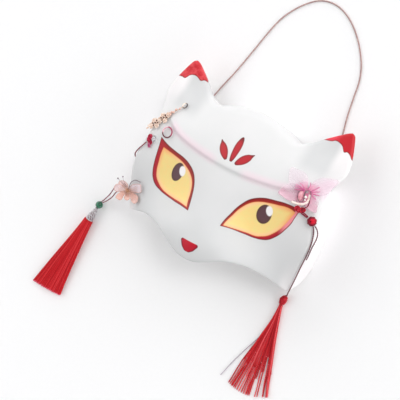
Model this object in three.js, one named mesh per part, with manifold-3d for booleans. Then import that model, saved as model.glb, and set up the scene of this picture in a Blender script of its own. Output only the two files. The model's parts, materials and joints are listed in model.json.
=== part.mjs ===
// A half-face fox mask with its strap, flower ornaments and two tassels, lying face up on its rim.
// Millimetres. X runs to the wearer's left side, Y to the ears, Z out of the face. The rim lies on Z = 0.
import * as THREE from "three";
import { mergeVertices } from "three/addons/utils/BufferGeometryUtils.js";
import Module from "manifold-3d";

const wasm = await Module();
wasm.setup();

// The face: height of the front surface over the rim at named places of one half, as x, y, z.
const FACE_MARKS = {
  lipMiddle: [0, -76, 76.5],
  lipMuzzle: [20, -70, 76.5],
  lipCurl: [34, -63.4, 73.5],
  lipHollow: [48, -61.2, 64.5],
  lipCheek: [66, -65, 49],
  corner: [83, -71.5, 33],
  nose: [0, -61, 79],
  muzzleSide: [24, -52, 75],
  bridge: [0, -38, 74.5],
  eyeInner: [16.2, -37.9, 70],
  eyeUnder: [38, -37, 58.5],
  eyeLow: [58, -34, 53.5],
  browRoot: [0, -8, 65.5],
  eyeTop: [28, -8, 60.5],
  pupil: [44.3, -14.7, 55.6],
  eyeOuter: [72, 3.4, 54.5],
  cheekLow: [88, -48, 43.5],
  cheekHigh: [90.5, -22, 50.5],
  waist: [84.5, 20, 49],
  mark: [0, 16, 62.5],
  markTip: [0, 38, 55.5],
  crown: [0, 55, 45],
  crownSide: [28, 48, 47],
  browSide: [58, 18, 56],
  earBase: [43, 48, 43],
  earOuter: [90.5, 46, 36],
  earMiddle: [70, 52, 38.5],
  earInner: [60, 62, 32.5],
  earTip: [79, 75, 28.5],
};

// The fold line, where the face turns down, from the middle of the lip round to the crown.
// turned is how far the edge is turned back, and rim is its height where it goes down to the table side.
const FOLD = [
  { x: 0, y: -76.5, radius: 2.3, turned: 0.4, inset: 0 },
  { x: 10, y: -74.8, radius: 2.3, turned: 0.4, inset: 0 },
  { x: 21, y: -69.4, radius: 2.3, turned: 0.4, inset: 0 },
  { x: 33, y: -63.4, radius: 2.3, turned: 0.4, inset: 0 },
  { x: 46, y: -61.2, radius: 2.3, turned: 0.4, inset: 0 },
  { x: 60, y: -63.1, radius: 2.3, turned: 0.4, inset: 0 },
  { x: 74, y: -68.3, radius: 2.4, turned: 0.6, inset: 0 },
  { x: 81, y: -71, radius: 2.1, turned: 2, inset: 0.3 },
  { x: 84.2, y: -70.2, radius: 2, rim: 20, inset: 0.6 },
  { x: 85.8, y: -66, radius: 2.2, rim: 8, inset: 0.8 },
  { x: 88, y: -50, radius: 3.2, rim: 0, inset: 0 },
  { x: 90.6, y: -24, radius: 3.4, rim: 0, inset: 3 },
  { x: 87, y: 2, radius: 3.6, rim: 0, inset: 7 },
  { x: 84.2, y: 20, radius: 3.4, rim: 0, inset: 9 },
  { x: 86.5, y: 30, radius: 3, rim: 16, inset: 5 },
  { x: 91, y: 43, radius: 2.7, turned: 8, inset: 2 },
  { x: 89.2, y: 56, radius: 2.6, turned: 8, inset: 2 },
  { x: 83.4, y: 72, radius: 2.1, turned: 7, inset: 1.6 },
  { x: 80.2, y: 76.4, radius: 2, turned: 7, inset: 1.4 },
  { x: 75.6, y: 75.6, radius: 2.1, turned: 7, inset: 1.6 },
  { x: 61.2, y: 64.6, radius: 2.6, turned: 8, inset: 2 },
  { x: 50, y: 55, radius: 3.2, turned: 14, inset: 3 },
  { x: 40.4, y: 51.2, radius: 4, rim: 6, inset: 5 },
  { x: 28, y: 55.6, radius: 6, rim: 0, inset: 6 },
  { x: 14, y: 59.8, radius: 7, rim: 0, inset: 7 },
  { x: 0, y: 61, radius: 7, rim: 0, inset: 7 },
];
const CORNER_INDEX = 8;
const EAR_TIP_INDEX = 18;
const WALL = 2;
const BROW = { y: 8.5, rise: 8, flick: 8, reach: 73, height: 1.7, width: 1.6, fade: 14, end: 66, endFade: 8 };
const EAR_HOLLOW = { x: 70, y: 53, along: 13, across: 8, depth: 2.2, lean: 0.75 };
const NOSE = { y: -61.5, across: 7, along: 5, height: 0.9 };
const PATCH = { columns: 30, rows: 19, foldSteps: 2, wallSteps: 1, evenings: 60, lookAhead: 0.4 };

// Every cord: its radius, the number of its straight steps, and the places it passes, as x, y, z.
const CORDS = {
  head_strap: {
    colour: "#8e4a48", radius: 0.6, steps: 38,
    route: [
      [-73.2, 15.8, 6.4], [-72.4, 19.2, 4.5], [-71.2, 22.8, 2.4], [-69.8, 27, 1], [-67.8, 32.5, 0.7],
      [-65.2, 40.5, 0.7], [-62, 50.2, 0.7], [-57, 64, 0.7], [-51.1, 79, 0.7], [-44.2, 99.5, 0.7],
      [-37.5, 120.3, 0.7], [-32.8, 133.5, 0.7], [-26.5, 145.2, 0.7], [-15.3, 158.4, 0.7],
      [-2.4, 167.2, 0.7], [12.2, 168.8, 0.7], [27.2, 162.7, 0.7], [41.2, 150.1, 0.7],
      [52.6, 133.5, 0.7], [58, 118.6, 0.7],
      [59.6, 101.9, 0.7], [61.2, 85.3, 0.7], [63.5, 71.8, 0.7], [66, 58, 0.7], [68.2, 46, 0.7],
      [69.9, 35, 0.7], [70.8, 27, 1], [71.7, 22.8, 2.4], [72.4, 19.2, 4.5], [73.2, 15.8, 6.4],
    ],
  },
  left_side_cord: {
    colour: "#9c2338", radius: 0.5, steps: 12,
    route: [
      [-83.2, -4.3, 54.5], [-85, -7.2, 54], [-86.4, -9.4, 53.4], [-87.8, -11.6, 52.6],
      [-89.2, -13.9, 51.5], [-90.6, -16.1, 50.1], [-91.9, -18.2, 48.3], [-92.9, -20.2, 46.1],
      [-93.5, -22.1, 43.6], [-93.6, -23.8, 40.9], [-93.3, -25.5, 37.7], [-92.9, -26.8, 34.7],
      [-92.2, -27.7, 32.2], [-91.4, -28.2, 30.4], [-90.4, -28.3, 29.6],
    ],
  },
  left_cord_upper: {
    colour: "#a13a4c", radius: 0.45, steps: 12,
    route: [
      [-98.6, -54.6, 44.6], [-100.2, -56.4, 42.6], [-101.9, -58.4, 40], [-103.7, -60.5, 36.9],
      [-105.6, -62.7, 33.4], [-107.6, -65, 29.6], [-109.7, -67.4, 25.6], [-111.9, -69.9, 21.6],
      [-114.1, -72.4, 17.7], [-116.3, -74.9, 14], [-118.5, -77.4, 10.7], [-120.6, -79.9, 7.9],
      [-122.5, -82.3, 5.8], [-124.2, -84.6, 4.5], [-125.5, -86.4, 4],
    ],
  },
  left_cord_lower: {
    colour: "#a13a4c", radius: 0.45, steps: 12,
    route: [
      [-95, -58.3, 43.2], [-97, -60, 42], [-99, -62, 39.8], [-101.2, -64.4, 36.2], [-103.6, -67, 31.8],
      [-106.1, -69.6, 27], [-108.3, -71.7, 23.1], [-110.5, -73.9, 19.3], [-112.8, -76.1, 15.6],
      [-115.1, -78.3, 12.2], [-117.4, -80.5, 9.1], [-119.6, -82.6, 6.5], [-121.5, -84.4, 4.7],
      [-123.2, -86, 3.8], [-124.4, -87.1, 3.5],
    ],
  },
  right_cord_inner: {
    colour: "#8a2434", radius: 0.5, steps: 24,
    route: [
      [87.1, -4.3, 54.3], [88.3, -7, 52.8], [89.2, -9.8, 51.7], [89.9, -13, 50.9], [90.5, -17, 50.1],
      [90.9, -21.6, 49.6], [91, -26.9, 49], [90.4, -34.5, 47.6], [89.3, -43, 45.2], [88.1, -52.8, 41.6],
      [86.5, -63, 36.9], [85.4, -69.1, 33.9], [84.4, -72.4, 30.9], [83.3, -75, 26.6], [82, -77.4, 21.6],
      [80.6, -79.4, 16.6], [79.2, -81, 11.8], [78, -82, 7.8], [77, -82.7, 5.2],
    ],
  },
  right_cord_outer: {
    colour: "#8a2434", radius: 0.5, steps: 12,
    route: [
      [88.4, -3.4, 54.6], [89.8, -4.6, 53.4], [91, -6, 52.3], [91.9, -7.6, 51.4], [92.6, -9.3, 50.8],
      [93, -11.1, 50.4], [93.2, -12.9, 50.2], [93.3, -14.7, 50.1], [93.2, -16.5, 50], [93, -18.3, 49.9],
      [92.8, -20.1, 49.8], [92.6, -21.9, 49.6], [92.5, -23.7, 49.4], [92.4, -25.4, 49.2], [92.4, -27, 49],
      [92.2, -30.7, 48.3], [91.8, -34.5, 47.5],
    ],
  },
};

const STRAP_KNOT = { x: 73.6, y: 14, z: 7.4, radius: 1.7 };
const SPRIG = {
  ring: [-64.7, 39.1], end: [-88.3, 7], thickness: 1.2, above: 1.3, ringOut: 2.6, ringIn: 1.4,
  stemWidth: 1.8, stemEnd: 17, curlOut: 3, curlIn: 1.5,
  // Each curl: its share of the length, its place across and its size.
  curls: [
    [0.42, 0, 1], [0.53, 2.4, 1], [0.54, -2.3, 1], [0.65, 0.1, 1.1], [0.76, 2.4, 1.05], [0.77, -2.3, 1.05],
    [0.88, 0.1, 1],
  ],
};
const PINK_RING = { x: -67.3, y: 12.3, radius: 4.6, wire: 0.6, above: 1.4 };
const CRYSTAL = { x: -76.8, y: 1.6, width: 4, length: 6.4, above: 0.45 };
// A knot's loops, the wrap over their crossing and the end that sticks out, in the knot's own small frame.
const BOW_KNOT = {
  ring: 1.7, cord: 0.75, stretch: 1.35, turn: 0.45, apart: 1.9, up: 0.8, wrap: 1.5, tail: [0.8, 0.6],
};
const LEFT_KNOT = { x: -81.8, y: -1, angle: -1.1, scale: 1, above: 0.5, tailEnd: [7.2, -0.3] };
const RIGHT_KNOT = { x: 72, y: 3.5, angle: 0.15, scale: 1.05, above: 3, tailEnd: [7.9, -3.9] };
// A petal widens and rounds off again: its edge is a stretch of a sine, and its end is this much rounded.
const PETAL = { from: 0.1, to: 0.82, rounded: 0.22 };
const BOSS = { topShare: 0.55, height: 1.8, above: 0.1 };
const WIRE_FLOWER = {
  x: -86.2, y: -54, above: 0.6, plane: 43.6, blend: 3, thickness: 0.9, boss: 2.4,
  petals: [
    { angle: 33, length: 15.5, width: 8.5, lift: 1.6 },
    { angle: -25, length: 14, width: 9, lift: 1.2 },
    { angle: -80, length: 10, width: 6, lift: 0.8 },
    { angle: -127, length: 13, width: 7.5, lift: 1.2 },
    { angle: -168, length: 14.5, width: 8, lift: 1.6 },
    { angle: 140, length: 12.5, width: 8.5, lift: 1.6 },
  ],
};
const ORGANZA_FLOWER = {
  x: 70.4, y: 19.5, above: 1.5, thickness: 0.9, boss: 3,
  petals: [
    { angle: 148, length: 25, width: 15, lift: 1.6 },
    { angle: 205, length: 24, width: 15, lift: 0.6 },
    { angle: 262, length: 14, width: 11, lift: 0.2 },
    { angle: 318, length: 19, width: 12, lift: 0.2 },
    { angle: 45, length: 26, width: 15, lift: 1.6 },
  ],
};
const HOOK = {
  wire: 0.9,
  route: [
    [74.6, 21.6, 58.6], [75.3, 18.4, 58.8], [75.7, 15.2, 59.1], [75.2, 12.2, 59.6], [73.2, 10, 60.2],
    [70.2, 8.7, 60.6], [66.8, 8, 60.7], [63.4, 7.7, 60.6],
  ],
};
const OVAL_BEAD = { x: 68, y: 15.6, z: 59, width: 4.6, length: 8.6, angle: -1.42 };
const BUTTON_KNOT = { x: 85.2, y: -0.6, radius: 4.2, above: 4.5 };
const JADE = { x: -126.7, y: -90.5, radius: 3.6 };
const CAP = { start: [-127.6, -94.5], end: [-130.7, -107.6], top: 1.6, bottom: 3.9, swell: 0.5 };
const FLOOR_GAP = 0.15;
const LEFT_TASSEL = {
  start: [-130.9, -108.2], end: [-147, -190.4], top: [5, 4], bottom: [18.2, 2.5],
  flare: 1.15, rows: 8, sides: 14,
};
const TASSEL_KNOT = { start: [76.8, -83.2], end: [75.4, -92.8], radius: 3.5, ends: 0.35, fullness: 0.7 };
const RIGHT_TASSEL = {
  neck: [75.3, -93.2], neckWidth: 2.6, leftEdge: [[74.2, -97], [72.6, -112], [68.2, -133], [63.4, -157]],
  rightEdge: [[77, -97], [80.4, -112], [85, -131], [91.4, -152]],
  leftTip: [58.6, -182.6], rightTip: [98.6, -176.4],
  bulge: 5, fingers: 9, notch: 0.78, fingerWidth: 0.62, thickness: 2.5,
};

// Solves a square set of linear equations by elimination with row exchange.
function solve(matrix, values) {
  const n = values.length;
  const rows = matrix.map((row, i) => [...row, values[i]]);
  for (let k = 0; k < n; k++) {
    let best = k;
    for (let i = k + 1; i < n; i++) {
      if (Math.abs(rows[i][k]) > Math.abs(rows[best][k])) best = i;
    }
    [rows[k], rows[best]] = [rows[best], rows[k]];
    for (let i = k + 1; i < n; i++) {
      const factor = rows[i][k] / rows[k][k];
      for (let j = k; j <= n; j++) rows[i][j] -= factor * rows[k][j];
    }
  }
  const answer = new Array(n).fill(0);
  for (let i = n - 1; i >= 0; i--) {
    let sum = rows[i][n];
    for (let j = i + 1; j < n; j++) sum -= rows[i][j] * answer[j];
    answer[i] = sum / rows[i][i];
  }
  return answer;
}

const plate = (dx, dy) => {
  const squared = dx * dx + dy * dy;
  return squared < 1e-9 ? 0 : 0.5 * squared * Math.log(squared);
};

// A thin plate bent through the marks and their mirror images: the smooth height of the face.
function bentPlate(marks) {
  const places = Object.values(marks);
  const n = places.length;
  const pull = (x, y, [markX, markY]) =>
    plate(x - markX, y - markY) + (markX > 0 ? plate(x + markX, y - markY) : 0);
  const count = places.map(([markX]) => (markX > 0 ? 2 : 1));
  const matrix = [];
  for (let i = 0; i < n; i++) {
    const [x, y] = places[i];
    matrix.push([...places.map((mark) => pull(x, y, mark)), 1, y]);
  }
  matrix.push([...count, 0, 0]);
  matrix.push([...places.map(([, y], i) => count[i] * y), 0, 0]);
  const weights = solve(matrix, [...places.map(([, , z]) => z), 0, 0]);
  return (x, y) => {
    let z = weights[n] + weights[n + 1] * y;
    places.forEach((mark, i) => {
      z += weights[i] * pull(x, y, mark);
    });
    return z;
  };
}

const plateHeight = bentPlate(FACE_MARKS);

function browLine(x) {
  const t = Math.abs(x) / BROW.reach;
  return BROW.y + BROW.rise * t ** 2 + BROW.flick * t ** 6;
}

// Height of the front of the face: the plate, the step of the brow, the hollow of each ear and the nose.
function faceHeight(x, y) {
  const away = y - browLine(x);
  const beyond = Math.max(0, Math.abs(x) - BROW.end) / BROW.endFade;
  const fading = Math.exp(-Math.abs(away) / BROW.fade - beyond ** 2);
  const brow = BROW.height * Math.tanh(away / BROW.width) * fading;
  const dx = Math.abs(x) - EAR_HOLLOW.x;
  const dy = y - EAR_HOLLOW.y;
  const along = dx * Math.sin(EAR_HOLLOW.lean) + dy * Math.cos(EAR_HOLLOW.lean);
  const across = dx * Math.cos(EAR_HOLLOW.lean) - dy * Math.sin(EAR_HOLLOW.lean);
  const apart = (along / EAR_HOLLOW.along) ** 2 + (across / EAR_HOLLOW.across) ** 2;
  const hollow = EAR_HOLLOW.depth * Math.exp(-apart);
  const nose = NOSE.height * Math.exp(-((x / NOSE.across) ** 2) - ((y - NOSE.y) / NOSE.along) ** 2);
  return plateHeight(x, y) + brow - hollow + nose;
}

// The whole fold line, both halves, with the height of its edge worked out.
function foldPoints() {
  const half = FOLD.map((point) => {
    const folded = faceHeight(point.x, point.y) - point.radius;
    return { ...point, rim: point.rim ?? folded - point.turned };
  });
  const mirrored = half.slice(1, -1).reverse().map((point) => ({ ...point, x: -point.x }));
  return [...half, ...mirrored];
}

const mix = (a, b, t) => a + (b - a) * t;

function catmullRom(a, b, c, d, t) {
  const t2 = t * t;
  const t3 = t2 * t;
  return 0.5 * (2 * b + (c - a) * t + (2 * a - 5 * b + 4 * c - d) * t2 + (3 * b - a - 3 * c + d) * t3);
}

// A place on the fold line at a running index: smooth in plan, and straight between its values in the rest.
function foldAt(points, index) {
  const n = points.length;
  const i = Math.floor(index);
  const t = index - i;
  const [a, b, c, d] = [-1, 0, 1, 2].map((k) => points[(i + k + n) % n]);
  return {
    x: catmullRom(a.x, b.x, c.x, d.x, t),
    y: catmullRom(a.y, b.y, c.y, d.y, t),
    radius: mix(b.radius, c.radius, t),
    rim: mix(b.rim, c.rim, t),
    inset: mix(b.inset, c.inset, t),
  };
}

// Places evenly spread along the fold line between two running indices, with the outward direction of each.
function foldStretch(points, from, to, steps) {
  const fine = 40 * Math.abs(to - from);
  const lengths = [0];
  let last = foldAt(points, from);
  for (let k = 1; k <= fine; k++) {
    const next = foldAt(points, mix(from, to, k / fine));
    lengths.push(lengths[k - 1] + Math.hypot(next.x - last.x, next.y - last.y));
    last = next;
  }
  const places = [];
  for (let k = 0; k <= steps; k++) {
    const wanted = (lengths[fine] * k) / steps;
    let j = lengths.findIndex((length) => length >= wanted - 1e-9);
    j = Math.max(1, j);
    const t = (wanted - lengths[j - 1]) / (lengths[j] - lengths[j - 1]);
    const index = mix(from, to, (j - 1 + t) / fine);
    const place = foldAt(points, index);
    const before = foldAt(points, index - PATCH.lookAhead);
    const after = foldAt(points, index + PATCH.lookAhead);
    const run = Math.hypot(after.x - before.x, after.y - before.y);
    place.outX = (after.y - before.y) / run;
    place.outY = -(after.x - before.x) / run;
    places.push(place);
  }
  return places;
}

// Evens out the cells of a plan, so that none is folded over near a corner. Its edges stay.
function evenOut(plan) {
  for (let turn = 0; turn < PATCH.evenings; turn++) {
    for (let j = 1; j < plan.length - 1; j++) {
      for (let i = 1; i < plan[j].length - 1; i++) {
        const around = [plan[j - 1][i], plan[j + 1][i], plan[j][i - 1], plan[j][i + 1]];
        plan[j][i] = [0, 1].map((k) => around.reduce((sum, place) => sum + place[k], 0) / around.length);
      }
    }
  }
}

// The front sheet: a four-sided patch inside the fold, then rings for the rounded fold and for the wall.
function frontSheet() {
  const points = foldPoints();
  const n = points.length;
  const { columns, rows, foldSteps, wallSteps } = PATCH;
  const bottom = foldStretch(points, -CORNER_INDEX, CORNER_INDEX, columns);
  const right = foldStretch(points, CORNER_INDEX, EAR_TIP_INDEX, rows);
  const top = foldStretch(points, EAR_TIP_INDEX, n - EAR_TIP_INDEX, columns).reverse();
  const left = foldStretch(points, n - EAR_TIP_INDEX, n - CORNER_INDEX, rows).reverse();
  const inside = ({ x, y, outX, outY, radius }) => [x - outX * radius, y - outY * radius];
  const corners = [bottom[0], bottom[columns], top[0], top[columns]].map(inside);
  const plan = [];
  for (let j = 0; j <= rows; j++) {
    const v = j / rows;
    plan.push([]);
    for (let i = 0; i <= columns; i++) {
      const u = i / columns;
      const [b, t, l, r] = [bottom[i], top[i], left[j], right[j]].map(inside);
      plan[j].push([0, 1].map((k) => {
        const flat = mix(mix(corners[0][k], corners[1][k], u), mix(corners[2][k], corners[3][k], u), v);
        return mix(b[k], t[k], v) + mix(l[k], r[k], u) - flat;
      }));
    }
  }
  evenOut(plan);
  const vertices = [];
  const grid = plan.map((row) => row.map(([x, y]) => {
    vertices.push(new THREE.Vector3(x, y, faceHeight(x, y)));
    return vertices.length - 1;
  }));
  const walk = [
    ...bottom.slice(0, -1).map((place, i) => [place, grid[0][i]]),
    ...right.slice(0, -1).map((place, j) => [place, grid[j][columns]]),
    ...top.slice(1).map((place, i) => [place, grid[rows][i + 1]]).reverse(),
    ...left.slice(1).map((place, j) => [place, grid[j + 1][0]]).reverse(),
  ];
  const rings = [walk.map(([, index]) => index)];
  const addRing = (placed) => {
    rings.push(walk.map(([place]) => vertices.push(placed(place)) - 1));
  };
  const folded = ({ x, y, outX, outY, radius, inset, rim }, angle, down) => {
    const back = radius * (1 - Math.sin(angle)) + inset * down;
    const [px, py] = [x - outX * back, y - outY * back];
    const crest = [x - outX * radius * (1 - Math.sin(angle)), y - outY * radius * (1 - Math.sin(angle))];
    const top = faceHeight(...crest) - radius * (1 - Math.cos(angle));
    return new THREE.Vector3(px, py, mix(top, rim, down));
  };
  for (let k = 1; k <= foldSteps; k++) addRing((place) => folded(place, (Math.PI / 2) * (k / foldSteps), 0));
  for (let k = 1; k <= wallSteps; k++) addRing((place) => folded(place, Math.PI / 2, k / wallSteps));
  return { vertices, grid, rings, walk };
}

// Joins two rows of vertex numbers into triangles that face the right of the walk from row to row.
function strip(faces, inner, outer, closed) {
  const n = inner.length;
  for (let i = 0; i < (closed ? n : n - 1); i++) {
    const j = (i + 1) % n;
    faces.push([inner[i], outer[i], outer[j]], [inner[i], outer[j], inner[j]]);
  }
}

// The shell: the front sheet, the same sheet set in by the thickness of the wall, and the edge between them.
function maskShell() {
  const { vertices, grid, rings, walk } = frontSheet();
  const faces = [];
  for (let j = 0; j < grid.length - 1; j++) strip(faces, grid[j], grid[j + 1], false);
  const front = faces.map(([a, b, c]) => [a, c, b]);
  for (let k = 0; k < rings.length - 1; k++) strip(front, rings[k], rings[k + 1], true);
  const normals = vertices.map(() => new THREE.Vector3());
  for (const face of front) {
    const [a, b, c] = face.map((index) => vertices[index]);
    const normal = b.clone().sub(a).cross(c.clone().sub(a));
    face.forEach((index) => normals[index].add(normal));
  }
  const n = vertices.length;
  const edge = new Map(rings[rings.length - 1].map((index, i) => [index, walk[i][0]]));
  const behind = vertices.map((vertex, index) => {
    const place = edge.get(index);
    if (place) return vertex.clone().sub(new THREE.Vector3(place.outX, place.outY, 0).multiplyScalar(WALL));
    return vertex.clone().addScaledVector(normals[index].normalize(), -WALL);
  });
  const solid = [...front, ...front.map(([a, b, c]) => [a + n, c + n, b + n])];
  const last = rings[rings.length - 1];
  strip(solid, last, last.map((index) => index + n), true);
  return closedGeometry([...vertices, ...behind], solid);
}

function closedGeometry(vertices, faces) {
  const geometry = new THREE.BufferGeometry();
  const places = vertices.flatMap((vertex) => [vertex.x, vertex.y, vertex.z]);
  geometry.setAttribute("position", new THREE.Float32BufferAttribute(places, 3));
  geometry.setIndex(faces.flat());
  geometry.computeVertexNormals();
  return geometry;
}

// Joins closed shapes that run into each other into one solid.
function toSolid(geometry) {
  const bare = new THREE.BufferGeometry();
  bare.setAttribute("position", geometry.getAttribute("position").clone());
  if (geometry.index) bare.setIndex(geometry.index.clone());
  const merged = mergeVertices(bare, 1e-4);
  const vertProperties = new Float32Array(merged.getAttribute("position").array);
  const triVerts = new Uint32Array(merged.index.array);
  return new wasm.Manifold(new wasm.Mesh({ numProp: 3, vertProperties, triVerts }));
}

function fuse(geometries) {
  const mesh = geometries.map(toSolid).reduce((sum, next) => sum.add(next)).getMesh();
  const geometry = new THREE.BufferGeometry();
  geometry.setAttribute("position", new THREE.BufferAttribute(mesh.vertProperties, 3));
  geometry.setIndex(new THREE.BufferAttribute(mesh.triVerts, 1));
  geometry.computeVertexNormals();
  return geometry;
}

// Moves every vertex of a flat-made geometry to its place: place takes x, y, z and gives a vector.
function bend(geometry, place) {
  const position = geometry.getAttribute("position");
  for (let i = 0; i < position.count; i++) {
    const moved = place(position.getX(i), position.getY(i), position.getZ(i));
    position.setXYZ(i, moved.x, moved.y, moved.z);
  }
  geometry.computeVertexNormals();
  return geometry;
}

// A place on the face in a small frame of its own: turned by angle about x, y, and above the face by z.
function onFace({ x, y, angle = 0, scale = 1, above = 0 }) {
  return (a, b, z) => {
    const px = x + scale * (a * Math.cos(angle) - b * Math.sin(angle));
    const py = y + scale * (a * Math.sin(angle) + b * Math.cos(angle));
    return new THREE.Vector3(px, py, faceHeight(px, py) + above + scale * z);
  };
}

function tube(route, radius, steps, sides = 8) {
  const section = new THREE.Shape();
  for (let k = 0; k < sides; k++) {
    const angle = (2 * Math.PI * k) / sides;
    section[k ? "lineTo" : "moveTo"](radius * Math.cos(angle), radius * Math.sin(angle));
  }
  const path = new THREE.CatmullRomCurve3(route.map((place) => new THREE.Vector3(...place)));
  return new THREE.ExtrudeGeometry(section, { steps, extrudePath: path, bevelEnabled: false });
}

// A round body along a line: profile gives its radius at a share of the length.
function turned(start, end, z, profile, rows, sides) {
  const length = Math.hypot(end[0] - start[0], end[1] - start[1]);
  const points = [new THREE.Vector2(0, 0)];
  for (let k = 0; k <= rows; k++) points.push(new THREE.Vector2(profile(k / rows), (length * k) / rows));
  points.push(new THREE.Vector2(0, length));
  const geometry = new THREE.LatheGeometry(points, sides);
  const along = new THREE.Vector3((end[0] - start[0]) / length, (end[1] - start[1]) / length, 0);
  geometry.applyQuaternion(new THREE.Quaternion().setFromUnitVectors(new THREE.Vector3(0, 1, 0), along));
  geometry.translate(start[0], start[1], z);
  return geometry;
}

// A thin leaf of even thickness. place takes the share along it and across it, and gives its underside.
function leaf(place, rows, columns, thickness) {
  const vertices = [];
  const up = new THREE.Vector3(0, 0, thickness);
  for (let j = 0; j <= rows; j++) {
    for (let i = 0; i <= columns; i++) {
      const under = place(j / rows, i / columns);
      vertices.push(under, under.clone().add(up));
    }
  }
  const at = (j, i, side) => 2 * (j * (columns + 1) + i) + side;
  const faces = [];
  for (let j = 0; j < rows; j++) {
    for (let i = 0; i < columns; i++) {
      const square = [[j, i], [j + 1, i], [j + 1, i + 1], [j, i + 1]];
      const [a, b, c, d] = square.map(([row, column]) => at(row, column, 1));
      const [e, f, g, h] = square.map(([row, column]) => at(row, column, 0));
      faces.push([a, b, c], [a, c, d], [e, g, f], [e, h, g]);
    }
  }
  const round = [];
  for (let j = 0; j < rows; j++) round.push([j, 0]);
  for (let i = 0; i < columns; i++) round.push([rows, i]);
  for (let j = rows; j > 0; j--) round.push([j, columns]);
  for (let i = columns; i > 0; i--) round.push([0, i]);
  round.forEach(([j, i], k) => {
    const [nextJ, nextI] = round[(k + 1) % round.length];
    faces.push([at(j, i, 0), at(nextJ, nextI, 0), at(nextJ, nextI, 1)]);
    faces.push([at(j, i, 0), at(nextJ, nextI, 1), at(j, i, 1)]);
  });
  return closedGeometry(vertices, faces);
}

// A flower: petals that widen and round off again, joined by a boss, over a ground height of its own.
function blossom({ x, y, thickness, boss, petals }, ground) {
  const parts = petals.map(({ angle, length, width, lift }) => {
    const turn = THREE.MathUtils.degToRad(angle);
    const place = (u, v) => {
      const across = 2 * v - 1;
      const along = 1 + (length - 1) * u * (1 - PETAL.rounded * u * across ** 2);
      const half = (width / 2) * Math.sin(Math.PI * mix(PETAL.from, PETAL.to, u)) * across;
      const px = x + Math.cos(turn) * along - Math.sin(turn) * half;
      const py = y + Math.sin(turn) * along + Math.cos(turn) * half;
      return new THREE.Vector3(px, py, ground(px, py) + lift * u * u);
    };
    return leaf(place, 3, 3, thickness);
  });
  const dome = new THREE.CylinderGeometry(boss * BOSS.topShare, boss, BOSS.height, 6);
  dome.rotateX(Math.PI / 2);
  dome.translate(x, y, BOSS.height / 2);
  bend(dome, (px, py, z) => new THREE.Vector3(px, py, ground(px, py) + BOSS.above + z));
  return fuse([...parts, dome]);
}

// A cord knot lying flat: two loops, the wrap that holds them and an end that sticks out.
function bowKnot(spot) {
  const { ring, cord, stretch, turn, apart, up, wrap, tail } = BOW_KNOT;
  const loops = [-1, 1].map((side) => {
    const loop = new THREE.TorusGeometry(ring, cord, 4, 8);
    loop.scale(stretch, 1, 1);
    loop.rotateZ(side * turn);
    loop.translate(side * apart, up, cord);
    return loop;
  });
  const ball = new THREE.SphereGeometry(wrap, 6, 4);
  ball.translate(0, 0, wrap);
  const [endX, endY] = spot.tailEnd;
  const length = Math.hypot(endX, endY);
  const end = new THREE.CylinderGeometry(tail[0], tail[1], length, 5);
  end.translate(0, -length / 2, cord + 0.1);
  end.rotateZ(Math.atan2(endY, endX) + Math.PI / 2);
  return bend(fuse([...loops, ball, end]), onFace(spot));
}

// The gold sprig in its own flat frame: a small ring, a stem and curls that widen and end in a point.
function goldSprig() {
  const { ring, end, thickness, above, ringOut, ringIn, stemWidth, stemEnd, curlOut, curlIn, curls } = SPRIG;
  const length = Math.hypot(end[0] - ring[0], end[1] - ring[1]);
  const curl = (a, b, outer, inner) => {
    const shape = new THREE.Shape();
    const hole = new THREE.Path();
    for (let k = 0; k < 8; k++) {
      const angle = (Math.PI * (2 * k + 1)) / 8;
      shape[k ? "lineTo" : "moveTo"](a + outer * Math.cos(angle), b + outer * Math.sin(angle));
      hole[k ? "lineTo" : "moveTo"](a + inner * Math.cos(-angle), b + inner * Math.sin(-angle));
    }
    shape.holes.push(hole);
    return new THREE.ExtrudeGeometry(shape, { depth: thickness, bevelEnabled: false });
  };
  const stemStart = (ringOut + ringIn) / 2;
  const stem = new THREE.BoxGeometry(stemEnd - stemStart, stemWidth, thickness, 3, 1, 1);
  stem.translate((stemEnd + stemStart) / 2, 0, thickness / 2);
  const parts = [curl(0, 0, ringOut, ringIn), stem];
  for (const [share, across, size] of curls) {
    parts.push(curl(share * length, across, curlOut * size, curlIn * size));
  }
  const angle = Math.atan2(end[1] - ring[1], end[0] - ring[0]);
  return bend(fuse(parts), onFace({ x: ring[0], y: ring[1], angle, above }));
}

function leftTassel() {
  const { start, end, top, bottom, flare, rows, sides } = LEFT_TASSEL;
  const vertices = [];
  const startTurn = Math.atan2(end[0] - start[0], start[1] - end[1]);
  for (let k = 0; k <= rows; k++) {
    const share = k / rows;
    const spread = share ** flare;
    const [half, height] = [0, 1].map((i) => mix(top[i], bottom[i], spread));
    const turn = startTurn * (1 - share);
    const [cx, cy] = [0, 1].map((i) => mix(start[i], end[i], share));
    for (let i = 0; i < sides; i++) {
      const angle = (2 * Math.PI * i) / sides;
      const across = half * Math.cos(angle);
      const z = FLOOR_GAP + height * (1 + Math.sin(angle));
      vertices.push(new THREE.Vector3(cx + across * Math.cos(turn), cy + across * Math.sin(turn), z));
    }
  }
  const faces = [];
  for (let k = 0; k < rows; k++) {
    for (let i = 0; i < sides; i++) {
      const [a, b] = [k * sides + i, k * sides + ((i + 1) % sides)];
      faces.push([a, b + sides, a + sides], [a, b, b + sides]);
    }
  }
  for (let i = 1; i < sides - 1; i++) {
    faces.push([0, i + 1, i]);
    faces.push([rows * sides, rows * sides + i, rows * sides + i + 1]);
  }
  return closedGeometry(vertices, faces);
}

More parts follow.
